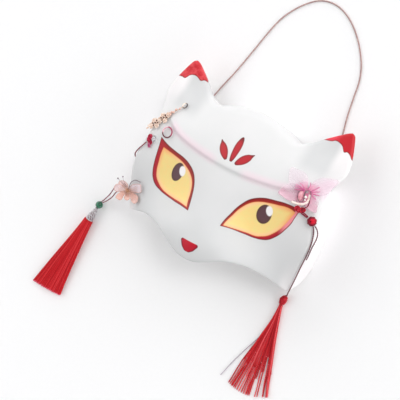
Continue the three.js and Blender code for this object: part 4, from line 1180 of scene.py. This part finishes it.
def makeSprig():
    (rx, ry), (ex, ey), lift = sprig["ring"], sprig["end"], sprig["lift"]
    ringSize, curls = sprig["ringSize"], sprig["curls"]
    length = hypot(ex - rx, ey - ry)
    place = onFace({"x": rx, "y": ry, "angle": atan2(ey - ry, ex - rx), "above": sprig["above"]})
    t = np.linspace(0, 1, 30)
    stem = [ringSize + (sprig["stemEnd"] - ringSize) * t, 0.25 * np.sin(6 * t), lift + 0 * t]
    lines = [stacked(stem)]
    thick = [np.interp(t, [0, 0.2, 0.8, 1], [2.2, 1.8, 2.1, 1.2])]
    for share, across, size in sprig["beads"][:3]:
        lines.append(np.linspace((0.86 * length, 0.1, lift), (share * length, across, lift), 6))
        thick.append(np.full(6, 1.1))
    s = np.linspace(0, 1, 36)
    for share, across, size in curls:
        for turn in (0.6, 0.6 + pi):
            angle = turn + 1.9 * pi * s * (1 if across >= 0 else -1)
            r = size * (2.55 - 1.75 * s)
            curl = [share * length + r * np.cos(angle), across + r * np.sin(angle), lift + 0.35 * s]
            lines.append(stacked(curl))
            thick.append(np.interp(s, [0, 0.1, 0.8, 1], [0.7, 1.15, 0.9, 1.5]))
    wires = strands("sprigWires", [place(line) for line in lines], goldWire, sprig["wire"], 8, thick=thick)
    ring = place(ellipseLine(0, 0, ringSize, ringSize, 0, lift))
    ringFinish = paintedReflectionWire("sprigRing", sprig["ring"], *sprig["ringPaintedReflection"])
    ring = strands("sprigRing", [ring], ringFinish, sprig["ringWire"], 10, loop=True)
    bright = [(share * length, across, lift + 0.45, 0.75 * size) for share, across, size in curls]
    bright += [(share * length, across, lift + 0.2, size) for share, across, size in sprig["beads"]]
    # darker beads sit in the gaps between the curls as painted shade
    dark = [((a + c) / 2 * length, (b + d) / 2, lift, 0.95) for k, (a, b, _) in enumerate(curls)
            for c, d, _ in curls[k + 1:] if hypot((a - c) * length, b - d) < 7]
    lumps = [(along, across, lift + up, size) for along, across, up, size in sprig["lumps"]]
    balls = []
    for name, spots, finish in (("sprigBeads", bright, goldWire), ("sprigShade", dark, brownGold),
                                ("stemLumps", lumps, tanGold)):
        spots = np.array(spots)
        balls.append(beads(name, place(spots[:, :3]), spots[:, 3], finish))
    return joined("goldSprig", [wires, ring, *balls])


settle(makeSprig(), "gold", "gold_filigree")

# The ring's three colours are a painted reflection.
pinkRingSpot = {"x": -67.3, "y": 12.3, "above": 2, "radius": 4.6, "wire": 0.58,
                "paintedReflection": ("#f3bcc8", "#a82f58", "#6a3440")}


def makePinkRing():
    x, y, radius = (pinkRingSpot[key] for key in ("x", "y", "radius"))
    line = onFace(pinkRingSpot)(ellipseLine(0, 0, radius, radius, 0, 0, 56))
    finish = paintedReflectionWire("pinkRing", (x, y), *pinkRingSpot["paintedReflection"])
    return strands("pinkRing", [line], finish, pinkRingSpot["wire"], 12, loop=True)


settle(makePinkRing(), "pink_wire", "pink_ring")

crystal = {"x": -76.8, "y": 1.6, "above": 2.45, "axis": (0, -1, 0), "halfLength": 3.1,
           "profile": [(0, 0.5), (0.2, 1.5), (0.42, 2), (0.6, 1.9), (0.85, 1.1), (1, 0.4)]}


def makeCrystal():
    finish = Finish("clearCrystal")
    finish = finish.close(Base_Color=(0.95, 0.97, 1, 1), Roughness=0.02, IOR=1.5, Transmission_Weight=1.0)
    x, y = crystal["x"], crystal["y"]
    spot = crystal | {"middle": (x, y, float(faceHeight(x, y)) + crystal["above"])}
    return turnedBead("crystalDrop", spot, crystal["profile"], 10, finish, smooth=False)


settle(makeCrystal(), "crystal", "crystal_bead")


# A cord knot lying flat: two loops, the wraps that hold them and the cord that leaves it.
def bowKnot(name, spot, finish, tailFinish, others=()):
    place = onFace(spot)
    loops = []
    outer, inner = (1.9, 0.8, 2.3, 1.7, 0.85, 40, 0.2), (1.7, 0.7, 1.2, 0.7, 0.9, 24, 0.1)
    for a, b, ra, rb, z, count, swing in (outer, inner):
        loops += [ellipseLine(side * a, b, ra, rb, side * 0.45, z, count, swing) for side in (-1, 1)]
    t = np.linspace(0, 2 * pi, 24, endpoint=False)
    for a in (-0.85, 0, 0.85):
        loops.append(stacked([np.full(24, a), 1.25 * np.cos(t), 1.5 + 1.3 * np.sin(t)]))
    knot = strands(name + "Loops", [place(loop) for loop in loops], finish, 0.72, 10, 2, 0.14, 2, loop=True)
    t = np.linspace(0, 1, 20)
    endX, endY = spot["tailEnd"]
    start = spot.get("tailStart", 0)
    run = start + (1 - start) * t
    tails = []
    for side in (-1, 1):
        apart = side * (0.45 + 0.2 * np.sin(3 * t)) / hypot(endX, endY)
        tails.append([endX * run - endY * apart, endY * run + endX * apart, 0.8 + 0.2 * np.sin(5 * t)])
    tails = [place(stacked(tail)) for tail in tails]
    tail = strands(name + "Tail", tails, tailFinish, spot["tailSize"], 8, 2, 0.14, 2)
    return joined(name, [knot, tail, *others])


leftSpot = {"x": -81.8, "y": -1, "angle": -1.1, "above": 0.5, "tailEnd": (7.2, -0.3), "tailStart": 0.4,
            "tailSize": 0.75}
rightSpot = {"x": 72, "y": 3.5, "angle": 0.15, "scale": 1.05, "above": 3, "tailEnd": (7.6, -3.7),
             "tailSize": 0.62, "second": [(76.5, 15.4, 59.2), (77.4, 12.1, 59.2), (77, 9.1, 59.2),
                                          (74.8, 6.6, 59.4), (73.4, 4.8, 59.6)]}
settle(bowKnot("leftKnot", leftSpot, leftKnotCord, pinkCord), "red_cord", "left_knot")
secondCord = strands("secondCord", [smoothLine(rightSpot["second"], 0.4)], crimsonCord, 0.5, 8, 2, 0.14, 2)
settle(bowKnot("rightKnot", rightSpot, knotRed, crimsonCord, [secondCord]), "red_cord", "right_knot")
print("sprig, ring, drop and knots made")

# The left flower: film petals in wire outlines, on the cheek and straight on beyond its edge.
wireFlower = {
    "x": -85.3, "y": -53.4, "heart": (-86.2, -54), "above": 0.6, "plane": 43.6, "blend": 3,
    "film": "#f8e6ec", "coral": "#ffccbc", "heartTint": "#e2a884", "edgeTint": "#d0aca8",
    # each petal: how coral it is, how far it rises, its outline
    "petals": [
        (0.1, 1.5, [(-0.6, 3.4), (3.9, 8.2), (11.2, 11.6), (13.4, 8.8), (14.5, 5.3), (8.1, 2), (1.6, -0.6)]),
        (0.75, 1.2, [(0.6, -1), (4, -5.7), (7.2, -8.1), (10.5, -8), (13.1, -5.2), (13, -1.4), (10.4, 0.1),
                     (6, 0)]),
        (1, 0.9, [(-0.9, -1.6), (2.6, -5), (3, -7.6), (1, -9.3), (-1.8, -8.6), (-2.3, -5)]),
        (0.9, 1.3, [(-1.6, -1.4), (-3.2, -6.4), (-4, -11.3), (-7, -12.1), (-9.7, -11.2), (-8.3, -6.2),
                    (-4.6, -2.6)]),
        (0.35, 1.6, [(-2, -1), (-6.6, -4), (-11.7, -6.4), (-14.6, -3.9), (-13.1, 0.3), (-7, 1.2)]),
        (0.5, 1.4, [(-2, 0), (-6.5, 1.2), (-11.6, 0.9), (-11.9, 3.8), (-7.6, 5.8), (-3, 4.4)]),
    ],
    "arc": [(-0.7, 0.4), (-0.6, 2.8), (-0.4, 5), (0.1, 8), (1.8, 10.3), (3.7, 12.2), (6.1, 13.1), (8.3, 13.1),
            (10.7, 13.7)],
    "feelers": [[(-2.6, 2), (-5.6, 3.8), (-8.6, 6.4), (-10.4, 8.9)],
                [(-4, 1.6), (-8.2, 3.2), (-12, 4.2), (-14.6, 5.2)]],
}
organza = {
    "x": 70.4, "y": 19.5, "heart": (71, 20.1), "above": 1.5, "height": 60.2,
    "film": "#f4dcea", "rosy": "#ffcade", "heartTint": "#fb98c0",
    # each petal: its direction, length, width and lift
    "petals": [(148, 25, 15, 1.6), (205, 24, 15, 0.6), (262, 14, 11, 0.2), (318, 19, 12, 0.2),
               (45, 26, 15, 1.6)],
    "tufts": [
        [(69.6, 21), (65, 22.4), (60.6, 22.5)], [(69.6, 20.8), (65, 21.2), (60.4, 20.6)],
        [(69.4, 20.4), (65.4, 19.6), (61.4, 18.2)], [(69.6, 21.4), (66.6, 24), (63.4, 25.4)],
        [(74.3, 21.8), (77.6, 25.4), (80.5, 29.4)], [(74.3, 21.4), (78.6, 23.8), (82.6, 25.8)],
        [(74.5, 21), (79, 21.8), (83.6, 22.6)], [(74.5, 20.4), (78.4, 19.6), (81.9, 18)],
        [(72, 22.6), (72.6, 26), (72, 29.5)],
    ],
}


def petalFilmFinish():
    finish = Finish("petalFilm")
    cloud = finish.noise(0.5, 4, 0.6)
    coral = ramp(finish.attribute("shade") + 0.5 * (cloud - 0.5), 0, 1)
    near = fall(finish.away(*wireFlower["heart"]) + 3 * (cloud - 0.5), 0, 6.5)
    edge = ramp(finish.attribute("rim"), 0.8, 1)
    base = layered(wireFlower["film"], (coral, wireFlower["coral"]), (0.7 * near, wireFlower["heartTint"]),
                   (0.3 * edge, wireFlower["edgeTint"]))
    alpha = 0.5 + 0.22 * coral + 0.2 * edge + 0.3 * (finish.noise(5, 2) - 0.5)
    return finish.close(Base_Color=base, Roughness=0.22, Alpha=alpha, Normal=finish.bump(cloud, 0.4, 0.6),
                        Specular_IOR_Level=0.7)


def sheerFinish():
    finish = Finish("sheerOrganza")
    cloud, weave = finish.noise(0.22, 3), finish.noise(7, 2)
    along, across = finish.attribute("along"), abs(finish.attribute("across"))
    heart = fall(finish.away(*organza["heart"]) + 4 * (cloud - 0.5), 2, 13)
    _, y, _ = finish.axes(finish.place)
    rosy = ramp(organza["y"] - y + 8 * (cloud - 0.5), 0, 9)
    base = layered(organza["film"], (rosy, organza["rosy"]), (0.85 * heart, organza["heartTint"]))
    hem = ramp(across, 0.86, 0.98) + ramp(along, 0.94, 1)
    vein = fall(finish.maths("PINGPONG", across * 3, 0.5), 0, 0.16)
    alpha = 0.16 + 0.4 * heart + 0.02 * hem + 0.04 * vein + 0.2 * (weave - 0.5) + 0.18 * rosy
    return finish.close(Base_Color=base, Roughness=0.6, Alpha=alpha, Normal=finish.bump(weave, 0.05, 0.3),
                        Sheen_Weight=0.4)


def wireGround(x, y):
    face = faceHeight(x, y) + wireFlower["above"]
    return (face + wireFlower["plane"] + np.hypot(face - wireFlower["plane"], wireFlower["blend"])) / 2


# A film inside a closed line, rising from the heart of the flower to its edge.
def makeFilm(line, rise, thickness, rings=(0.25, 0.5, 0.75, 0.9, 1)):
    middle = line.mean(axis=0)
    flat = np.vstack([middle[None], *(middle + share * (line - middle) for share in rings)])
    flat = flat + (wireFlower["x"], wireFlower["y"])
    away = np.hypot(*(flat - wireFlower["heart"]).T)
    ripple = 0.12 * np.sin(1.3 * flat[:, 0] + 2.1 * flat[:, 1])
    z = wireGround(*flat.T) + 0.3 + rise * np.minimum(away / 13, 1.1) ** 2 + ripple
    n, total = len(line), len(flat)
    grid = np.arange(1, total).reshape(-1, n)
    under = [(0, a, b) for a, b in zip(grid[0], np.roll(grid[0], -1))]
    for inner, outer in zip(grid, grid[1:]):
        under += [tuple(face) for face in quads(inner, outer, True)]
    faces = under + [tuple(v + total for v in face[::-1]) for face in under]
    faces += quads(grid[-1], grid[-1] + total, True).tolist()
    points = stacked([flat, z])
    rim = np.repeat([0, *rings], [1] + [n] * len(rings))
    return np.vstack([points, points + (0, 0, thickness)]), faces, np.tile(rim, 2), points[-n:]


def makePetalFilms():
    vertices, faces, shades, rims, lines = [], [], [], [], []
    count = 0
    for coral, rise, outline in wireFlower["petals"]:
        v, f, rim, edge = makeFilm(closedLine(outline, 42), rise, 0.12)
        vertices.append(v)
        faces += [tuple(k + count for k in face) for face in f]
        shades.append(np.full(len(v), coral))
        rims.append(rim)
        lines.append(edge + (0, 0, 0.06))
        count += len(v)
    petals = addMesh("petalFilms", np.vstack(vertices), faces, [petalFilmFinish()])
    addNumbers(petals.data, "shade", np.hstack(shades))
    addNumbers(petals.data, "rim", np.hstack(rims))
    return faceOut(petals), lines


def makeFlowerFrame(lines):
    x, y = wireFlower["heart"]

    def raised(points, height):
        flat = smoothLine([(a, b, 0) for a, b in points], 0.6)[:, :2] + (wireFlower["x"], wireFlower["y"])
        return stacked([flat, wireGround(*flat.T) + height])

    edges = strands("flowerEdges", lines, dustyWire, 0.17, 6, loop=True)
    start = np.array((x, y, float(wireGround(x, y)) + 1))
    spokes = [start + (line[k] - start) * np.linspace(0, 0.72, 8)[:, None]
              for line in lines for k in (14, 18, 22, 26, 30)]
    spokes = strands("flowerSpokes", spokes, dustyWire, 0.13, 5)
    arc = strands("flowerArc", [raised(wireFlower["arc"], 1.6)], greyWire, 0.36, 8)
    feelers = [raised(points, 1.3) for points in wireFlower["feelers"]]
    feeler = strands("flowerFeelers", feelers, greyWire, 0.16, 6)
    tips = beads("feelerTips", [line[-1] for line in feelers], [0.7, 0.8], greyWire, 10, 8)
    spots = [(x, y)] + [(x + 1.6 * cos(a), y + 1.6 * sin(a)) for a in np.linspace(0, 6.28, 7)[:6]]
    spots = [(px, py, float(wireGround(px, py)) + 1.2) for px, py in spots]
    heart = beads("flowerHeart", spots, [0.9] + [0.6] * 6, copperWire)
    return joined("flowerFrame", [edges, spokes, arc, feeler, tips, heart])


petalFilms, filmEdges = makePetalFilms()
settle(petalFilms, "petal_film", "wire_flower")
settle(makeFlowerFrame(filmEdges), "petal_film", "wire_flower")


# A petal as shares along and across: it widens and rounds off again, cups and ripples.
def petalPlace(petal, cup, ripple):
    angle, length, width, lift = petal
    turn = radians(angle)

    def place(u, v):
        along = 1 + (length - 1) * u * (1 - 0.18 * u * v ** 2)
        half = width / 2 * np.sin(pi * (0.08 + 0.78 * u)) * v
        px = organza["x"] + cos(turn) * along - sin(turn) * half
        py = organza["y"] + sin(turn) * along + cos(turn) * half
        wave = ripple * np.sin(9 * u + 3 * v + angle) * u
        ground = faceHeight(px, py) + organza["above"]
        return np.stack([px, py, ground + lift * u * u + cup * v * v + 0.3 + wave], -1)
    return place


def makeOrganza():
    places = [petalPlace(petal, 0.5, 0.35) for petal in organza["petals"]]
    return leaves("organzaPetals", places, 16, 12, 0.15, sheerFinish())


def makeTufts():
    lines = [smoothLine([(x, y, organza["height"] + 0.3 * k) for k, (x, y) in enumerate(tuft)], 0.6)
             for tuft in organza["tufts"]]
    thick = [np.linspace(1.2, 0.5, len(line)) for line in lines]
    return strands("flowerTufts", lines, tuftThread, 0.3, 6, thick=thick)


organzaPetals = settle(makeOrganza(), "organza", "organza_flower")
settle(makeTufts(), "organza", "organza_flower")

hook = {
    "route": [(74.6, 21.6, 58.9), (75.3, 18.4, 59.1), (75.7, 15.2, 59.4), (75.2, 12.2, 59.9),
              (73.2, 10, 60.5), (70.2, 8.7, 60.8), (66.8, 8, 60.8), (63.4, 7.7, 60.7)],
    "loop": [(69.5, 20.9), (66.7, 19.6), (65, 16.5), (66.2, 12.9), (68.5, 10.6), (70.7, 11), (71.7, 13.1),
             (71.1, 17.4), (70.7, 20.6)],
    "arch": [(71, 16.5), (70.8, 19.7), (71.6, 21.5), (73.9, 22.7), (75.5, 21.9), (76.7, 19.2), (76.9, 16.4)],
    "pearls": [(72.9, 16.4, 60.3), (73.2, 13.8, 60.2)], "pearlSizes": [1.25, 0.8],
    "radius": 1, "wire": 0.32, "height": 60.6, "loopHeight": 59.4,
}


def makeHook():
    line = smoothLine(hook["route"], 0.4)
    thick = [np.interp(np.linspace(0, 1, len(line)), [0, 0.1, 0.8, 1], [0.5, 0.95, 1, 0.6])]
    rod = strands("hookRod", [line], creamGold, hook["radius"], 12, thick=thick)
    loop = stacked([closedLine(hook["loop"], 60), np.full(60, hook["loopHeight"])])
    loop = strands("beadLoop", [loop], greyWire, hook["wire"], 8, loop=True)
    arch = smoothLine([(x, y, hook["height"]) for x, y in hook["arch"]], 0.5)
    arch = strands("hookArch", [arch], greyWire, hook["wire"], 8)
    drop = beads("hookPearl", hook["pearls"], hook["pearlSizes"], pearl, 16, 12)
    return joined("flowerHook", [rod, loop, arch, drop])


settle(makeHook(), "gold", "flower_hook")

ovalBead = {"middle": (68, 15.6, 59), "axis": (cos(-1.42), sin(-1.42), 0), "halfLength": 4.2, "radius": 2.3}
jade = {"middle": (-126.7, -90.5, 3.75), "axis": (-0.23, -0.97, 0), "halfLength": 3.55, "radius": 3.6,
        "bore": [(0.12, 0.5), (0.03, 0.8), (0, 1.2)], "start": 0.34}


def makeOvalBead():
    profile = [(s, ovalBead["radius"] * sqrt(max(0.01, 1 - (2 * s - 1) ** 2))) for s in np.linspace(0, 1, 15)]
    return turnedBead("ovalBead", ovalBead, profile, 24, roseBead)


def makeJade():
    angles = np.linspace(jade["start"], pi - jade["start"], 16)
    profile = jade["bore"] + [((1 - cos(a)) / 2, jade["radius"] * sin(a)) for a in angles]
    profile += [(1 - share, radius) for share, radius in jade["bore"][::-1]]
    return turnedBead("jadeBead", jade, profile, 32, jadeStone)


settle(makeOvalBead(), "pink_bead", "oval_bead")
jadeBead = settle(makeJade(), "jade", "jade_bead")

cap = {
    "start": (-127.6, -94.5, 4.05), "end": (-130.7, -107.6, 4.05), "top": 1.6, "bottom": 3.9,
    "hoops": [(0.01, 0.1), (0.3, 0), (0.62, 0), (0.97, 0.15)],  # share along and how far each stands out
    "rows": [(0.02, 0.3), (0.3, 0.62), (0.62, 0.97)], "turns": 9, "wire": 0.3, "hoopWire": 0.42,
}


def makeCap():
    start, end = np.array(cap["start"]), np.array(cap["end"])

    def radius(s):
        return cap["top"] + (cap["bottom"] - cap["top"]) * s ** 0.8 + 0.5 * sin(pi * s)

    def stretch(low, high, more, *turning):
        return helix(start + (end - start) * low, start + (end - start) * high,
                     lambda t: radius(low + (high - low) * t) - 0.4 + more, *turning)

    profile = [(s, radius(s) - 0.75) for s in np.linspace(0.02, 0.99, 8)]
    core = turnedBody("capCore", start, end, profile, 20, capInner)
    hoops = [stretch(s, s + 0.001, more, 1, 28)[:-1] for s, more in cap["hoops"]]
    hoops = strands("capRings", hoops, silver, cap["hoopWire"], 8, loop=True)
    net = [stretch(low, high, 0, 0.1, 90, 2 * pi * k / cap["turns"] + lead)
           for k in range(cap["turns"]) for lead in (0, 0.6) for low, high in cap["rows"]]
    return joined("silverCap", [core, hoops, strands("capNet", net, silver, cap["wire"], 6)])


silverCap = settle(makeCap(), "silver", "silver_cap")
print("flowers, beads and cap made")

leftTasselSizes = {
    "start": (-130.9, -108.2), "end": (-147, -190.4), "top": (5, 4), "bottom": (18.2, 2.5), "flare": 1.15,
    "threads": 430, "radius": 0.5, "points": 15, "seed": 4,
}


def makeLeftTassel():
    t = leftTasselSizes
    seeded = np.random.default_rng(t["seed"])
    start, end = np.array(t["start"]), np.array(t["end"])
    startTurn = atan2(end[0] - start[0], start[1] - end[1])
    lines, thick, shades = [], [], []
    for k in range(t["threads"]):
        # evenly spread over the section by the golden angle
        r = sqrt((k + 0.5) / t["threads"]) * 0.94
        angle = k * 2.39996
        a, b = r * cos(angle), r * sin(angle)
        reach = 1 + seeded.uniform(-0.012, 0.004)
        s = np.linspace(0, reach, t["points"])
        spread = np.minimum(s, 1) ** t["flare"]
        half = (t["top"][0] + (t["bottom"][0] - t["top"][0]) * spread) - 0.5
        height = (t["top"][1] + (t["bottom"][1] - t["top"][1]) * spread) - 0.5
        turn = startTurn * (1 - s)
        drift = 0.25 * np.sin(7 * s + seeded.uniform(0, 6)) * s
        across = a * half + drift
        centre = start + (end - start) * s[:, None]
        z = 0.65 + height * (1 + b)
        plan = centre + across[:, None] * stacked([np.cos(turn), np.sin(turn)])
        lines.append(stacked([plan, z]))
        thick.append(np.interp(s, [0, 0.15, 1], [0.6, 0.8, 1]))
        shades.append(seeded.uniform(0.05, 0.95))
    return strands("leftTassel", lines, redThread, t["radius"], 5, thick=thick, shades=shades)


settle(makeLeftTassel(), "red_silk", "left_tassel")

rightTasselSizes = {
    "left": [(74.2, -93.2), (74.2, -97), (72.6, -112), (68.2, -133), (63.4, -157), (58.6, -182.6)],
    "right": [(76.4, -93.2), (77, -97), (80.4, -112), (85, -131), (91.4, -152), (98.6, -176.4)],
    # each yarn that reaches the end: its share across and how thick it is
    "yarns": [(0, 1), (0.05, 0.9), (0.7, 0.5), (0.78, 0.5), (0.1, 1), (0.145, 1.1), (0.19, 0.9),
              (0.23, 1.1), (0.29, 1), (0.34, 1.3), (0.37, 1.2), (0.43, 1), (0.48, 0.9), (0.53, 1.1),
              (0.56, 1.4), (0.59, 1.3), (0.88, 1.2), (0.91, 1.3), (0.95, 1), (0.985, 1.1), (1, 1)],
    "stray": [(75.2, -101, 1.4), (72.2, -117, 1.2), (68.2, -131, 1), (61, -148, 0.8), (54.8, -164, 0.8),
              (51.6, -174, 1), (49.6, -180, 1)],
    "short": 46, "radius": 0.56, "seed": 11,
}


def makeRightTassel():
    t = rightTasselSizes
    seeded = np.random.default_rng(t["seed"])
    edges = [smoothLine([(x, y, 0) for x, y in t[side]], 1) for side in ("left", "right")]
    yarns = [(share, 1, size) for share, size in t["yarns"]]
    for k in range(t["short"]):  # shorter and finer ones fill the upper part
        share = (k + seeded.uniform(0, 1)) / t["short"]
        low, high = (0.54, 0.76) if 0.62 < share < 0.86 else (0.56, 0.84)
        yarns.append((share, seeded.uniform(low, high), seeded.uniform(0.75, 1.15)))
    lines, thick, shades = [], [], []
    for number, (share, reach, size) in enumerate(yarns):
        s = np.linspace(0, reach, 50)
        ends = [stacked([np.interp(s, np.linspace(0, 1, len(e)), e[:, k]) for k in (0, 1)]) for e in edges]
        wave = 0.7 * np.sin(seeded.uniform(6, 11) * s + seeded.uniform(0, 6)) * s
        place = ends[0] * (1 - share) + ends[1] * share
        place[:, 1] -= 5 * sin(pi * share) * s ** 3
        place[:, 0] += wave
        high = 0.75 + (number % 5) * 0.55 * (1 - 0.7 * s)
        lines.append(stacked([place, high]))
        thick.append(size * np.interp(s / reach, [0, 0.1, 0.9, 1], [0.6, 1, 1, 0.75]))
        shades.append(seeded.uniform(0.15, 0.95))
    fan = strands("tasselYarns", lines, fringeThread, t["radius"], 8, 3, 0.12, 0.9, thick, shades)
    stray = strands("tasselStray", [smoothLine(t["stray"], 1)], greyThread, 0.34, 8, shades=[0.5])
    return joined("rightTassel", [fan, stray])


settle(makeRightTassel(), "red_silk", "right_tassel")


# A ball of woven turns: a line that goes round some times and up and down more often.
def wovenBall(name, centre, radius, cord, finish, rounds=3, waves=8):
    t = np.linspace(0, 2 * pi, 400, endpoint=False)
    reach = radius - cord + 0.12 * np.cos(rounds * waves * t)
    lines = []
    for shift in (-1, 0, 1):
        high = 1.05 * np.sin(waves * t) + shift * cord * 1.9 / radius
        place = [np.cos(high) * np.cos(rounds * t), np.cos(high) * np.sin(rounds * t), np.sin(high)]
        lines.append(np.array(centre) + stacked(place) * reach[:, None])
    return strands(name, lines, finish, cord, 8, loop=True)


# The bright colour, centred near one place on the ball, is a painted highlight, and the dark round it is painted
# shade.
button = {"x": 85.2, "y": -0.6, "above": 4.5, "radius": 4.2, "core": 3.55, "cord": 0.5,
          "paintedLightPlace": (86.6, 0.4), "bright": "#d8102e", "dark": "#7c0624"}


# Painted light and shade on the turns: a painted highlight in the middle, and painted shade round it.
def buttonCord():  # the turns are bright red in the middle and dark round it
    finish = Finish("buttonCord")
    fibre = finish.noise(3.2, 4, 0.7)
    near = finish.away(*button["paintedLightPlace"])
    base = layered(button["bright"], (ramp(near + fibre - 0.5, 1.2, 3.2), button["dark"]))
    return finish.close(Base_Color=base, Roughness=0.45, Specular_IOR_Level=0.25,
                        Normal=finish.bump(fibre, 0.12, 0.7))


def makeButton():
    x, y = button["x"], button["y"]
    centre = (x, y, float(faceHeight(x, y)) + button["above"])
    core = beads("buttonCore", [centre], [button["core"]], knotDark, 24, 16)
    turns = wovenBall("buttonTurns", centre, button["radius"], button["cord"], buttonCord())
    return joined("buttonKnot", [turns, core])


settle(makeButton(), "red_cord", "button_knot")

tasselKnotSizes = {"start": (76.8, -83.2, 3.65), "end": (75.4, -92.8, 3.65), "radius": 3.5, "cord": 0.5}


def makeTasselKnot():
    start, end, cord = tasselKnotSizes["start"], tasselKnotSizes["end"], tasselKnotSizes["cord"]

    def radius(s):
        return tasselKnotSizes["radius"] * (0.35 + 0.65 * sin(pi * min(1, max(0, s))) ** 0.7) - cord

    profile = [(s, radius(s) - 0.2) for s in np.linspace(0.01, 0.99, 12)]
    core = turnedBody("knotCore", start, end, profile, 20, knotBright)
    turns = [helix(start, end, radius, 8, 20), helix(start, end, lambda s: radius(s) + 0.15, 1.5, 60, 2)]
    return joined("tasselKnot", [core, strands("knotWraps", turns, knotBright, cord, 8, 2, 0.1, 2)])


tasselKnot = settle(makeTasselKnot(), "red_cord", "tassel_knot")
print("tassels made")

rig.sheet(organzaPetals, flat=(0.052, 0.045), held="gathered", rests_on=["mask_shell"], area=0.00117)
carried = {"leftCordUpper": [jadeBead, silverCap], "rightCordInner": [tasselKnot]}
for name, cord in cords.items():
    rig.cord(cord["piece"], exit=cord["path"][0], length=cord["length"], diameter=cord["diameter"],
            far_end=cord["farEnd"], stiffness="limp", lay=cord["lay"], path=cord["path"],
            with_pieces=carried.get(name, []))

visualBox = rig.bounds()
sizes = {"cad": [list(corner) for corner in cadBox], "visual": [list(corner) for corner in visualBox]}
with open("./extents.json", "w") as sizeFile:
    json.dump(sizes, sizeFile)
print("cad box", sizes["cad"], "visual box", sizes["visual"])
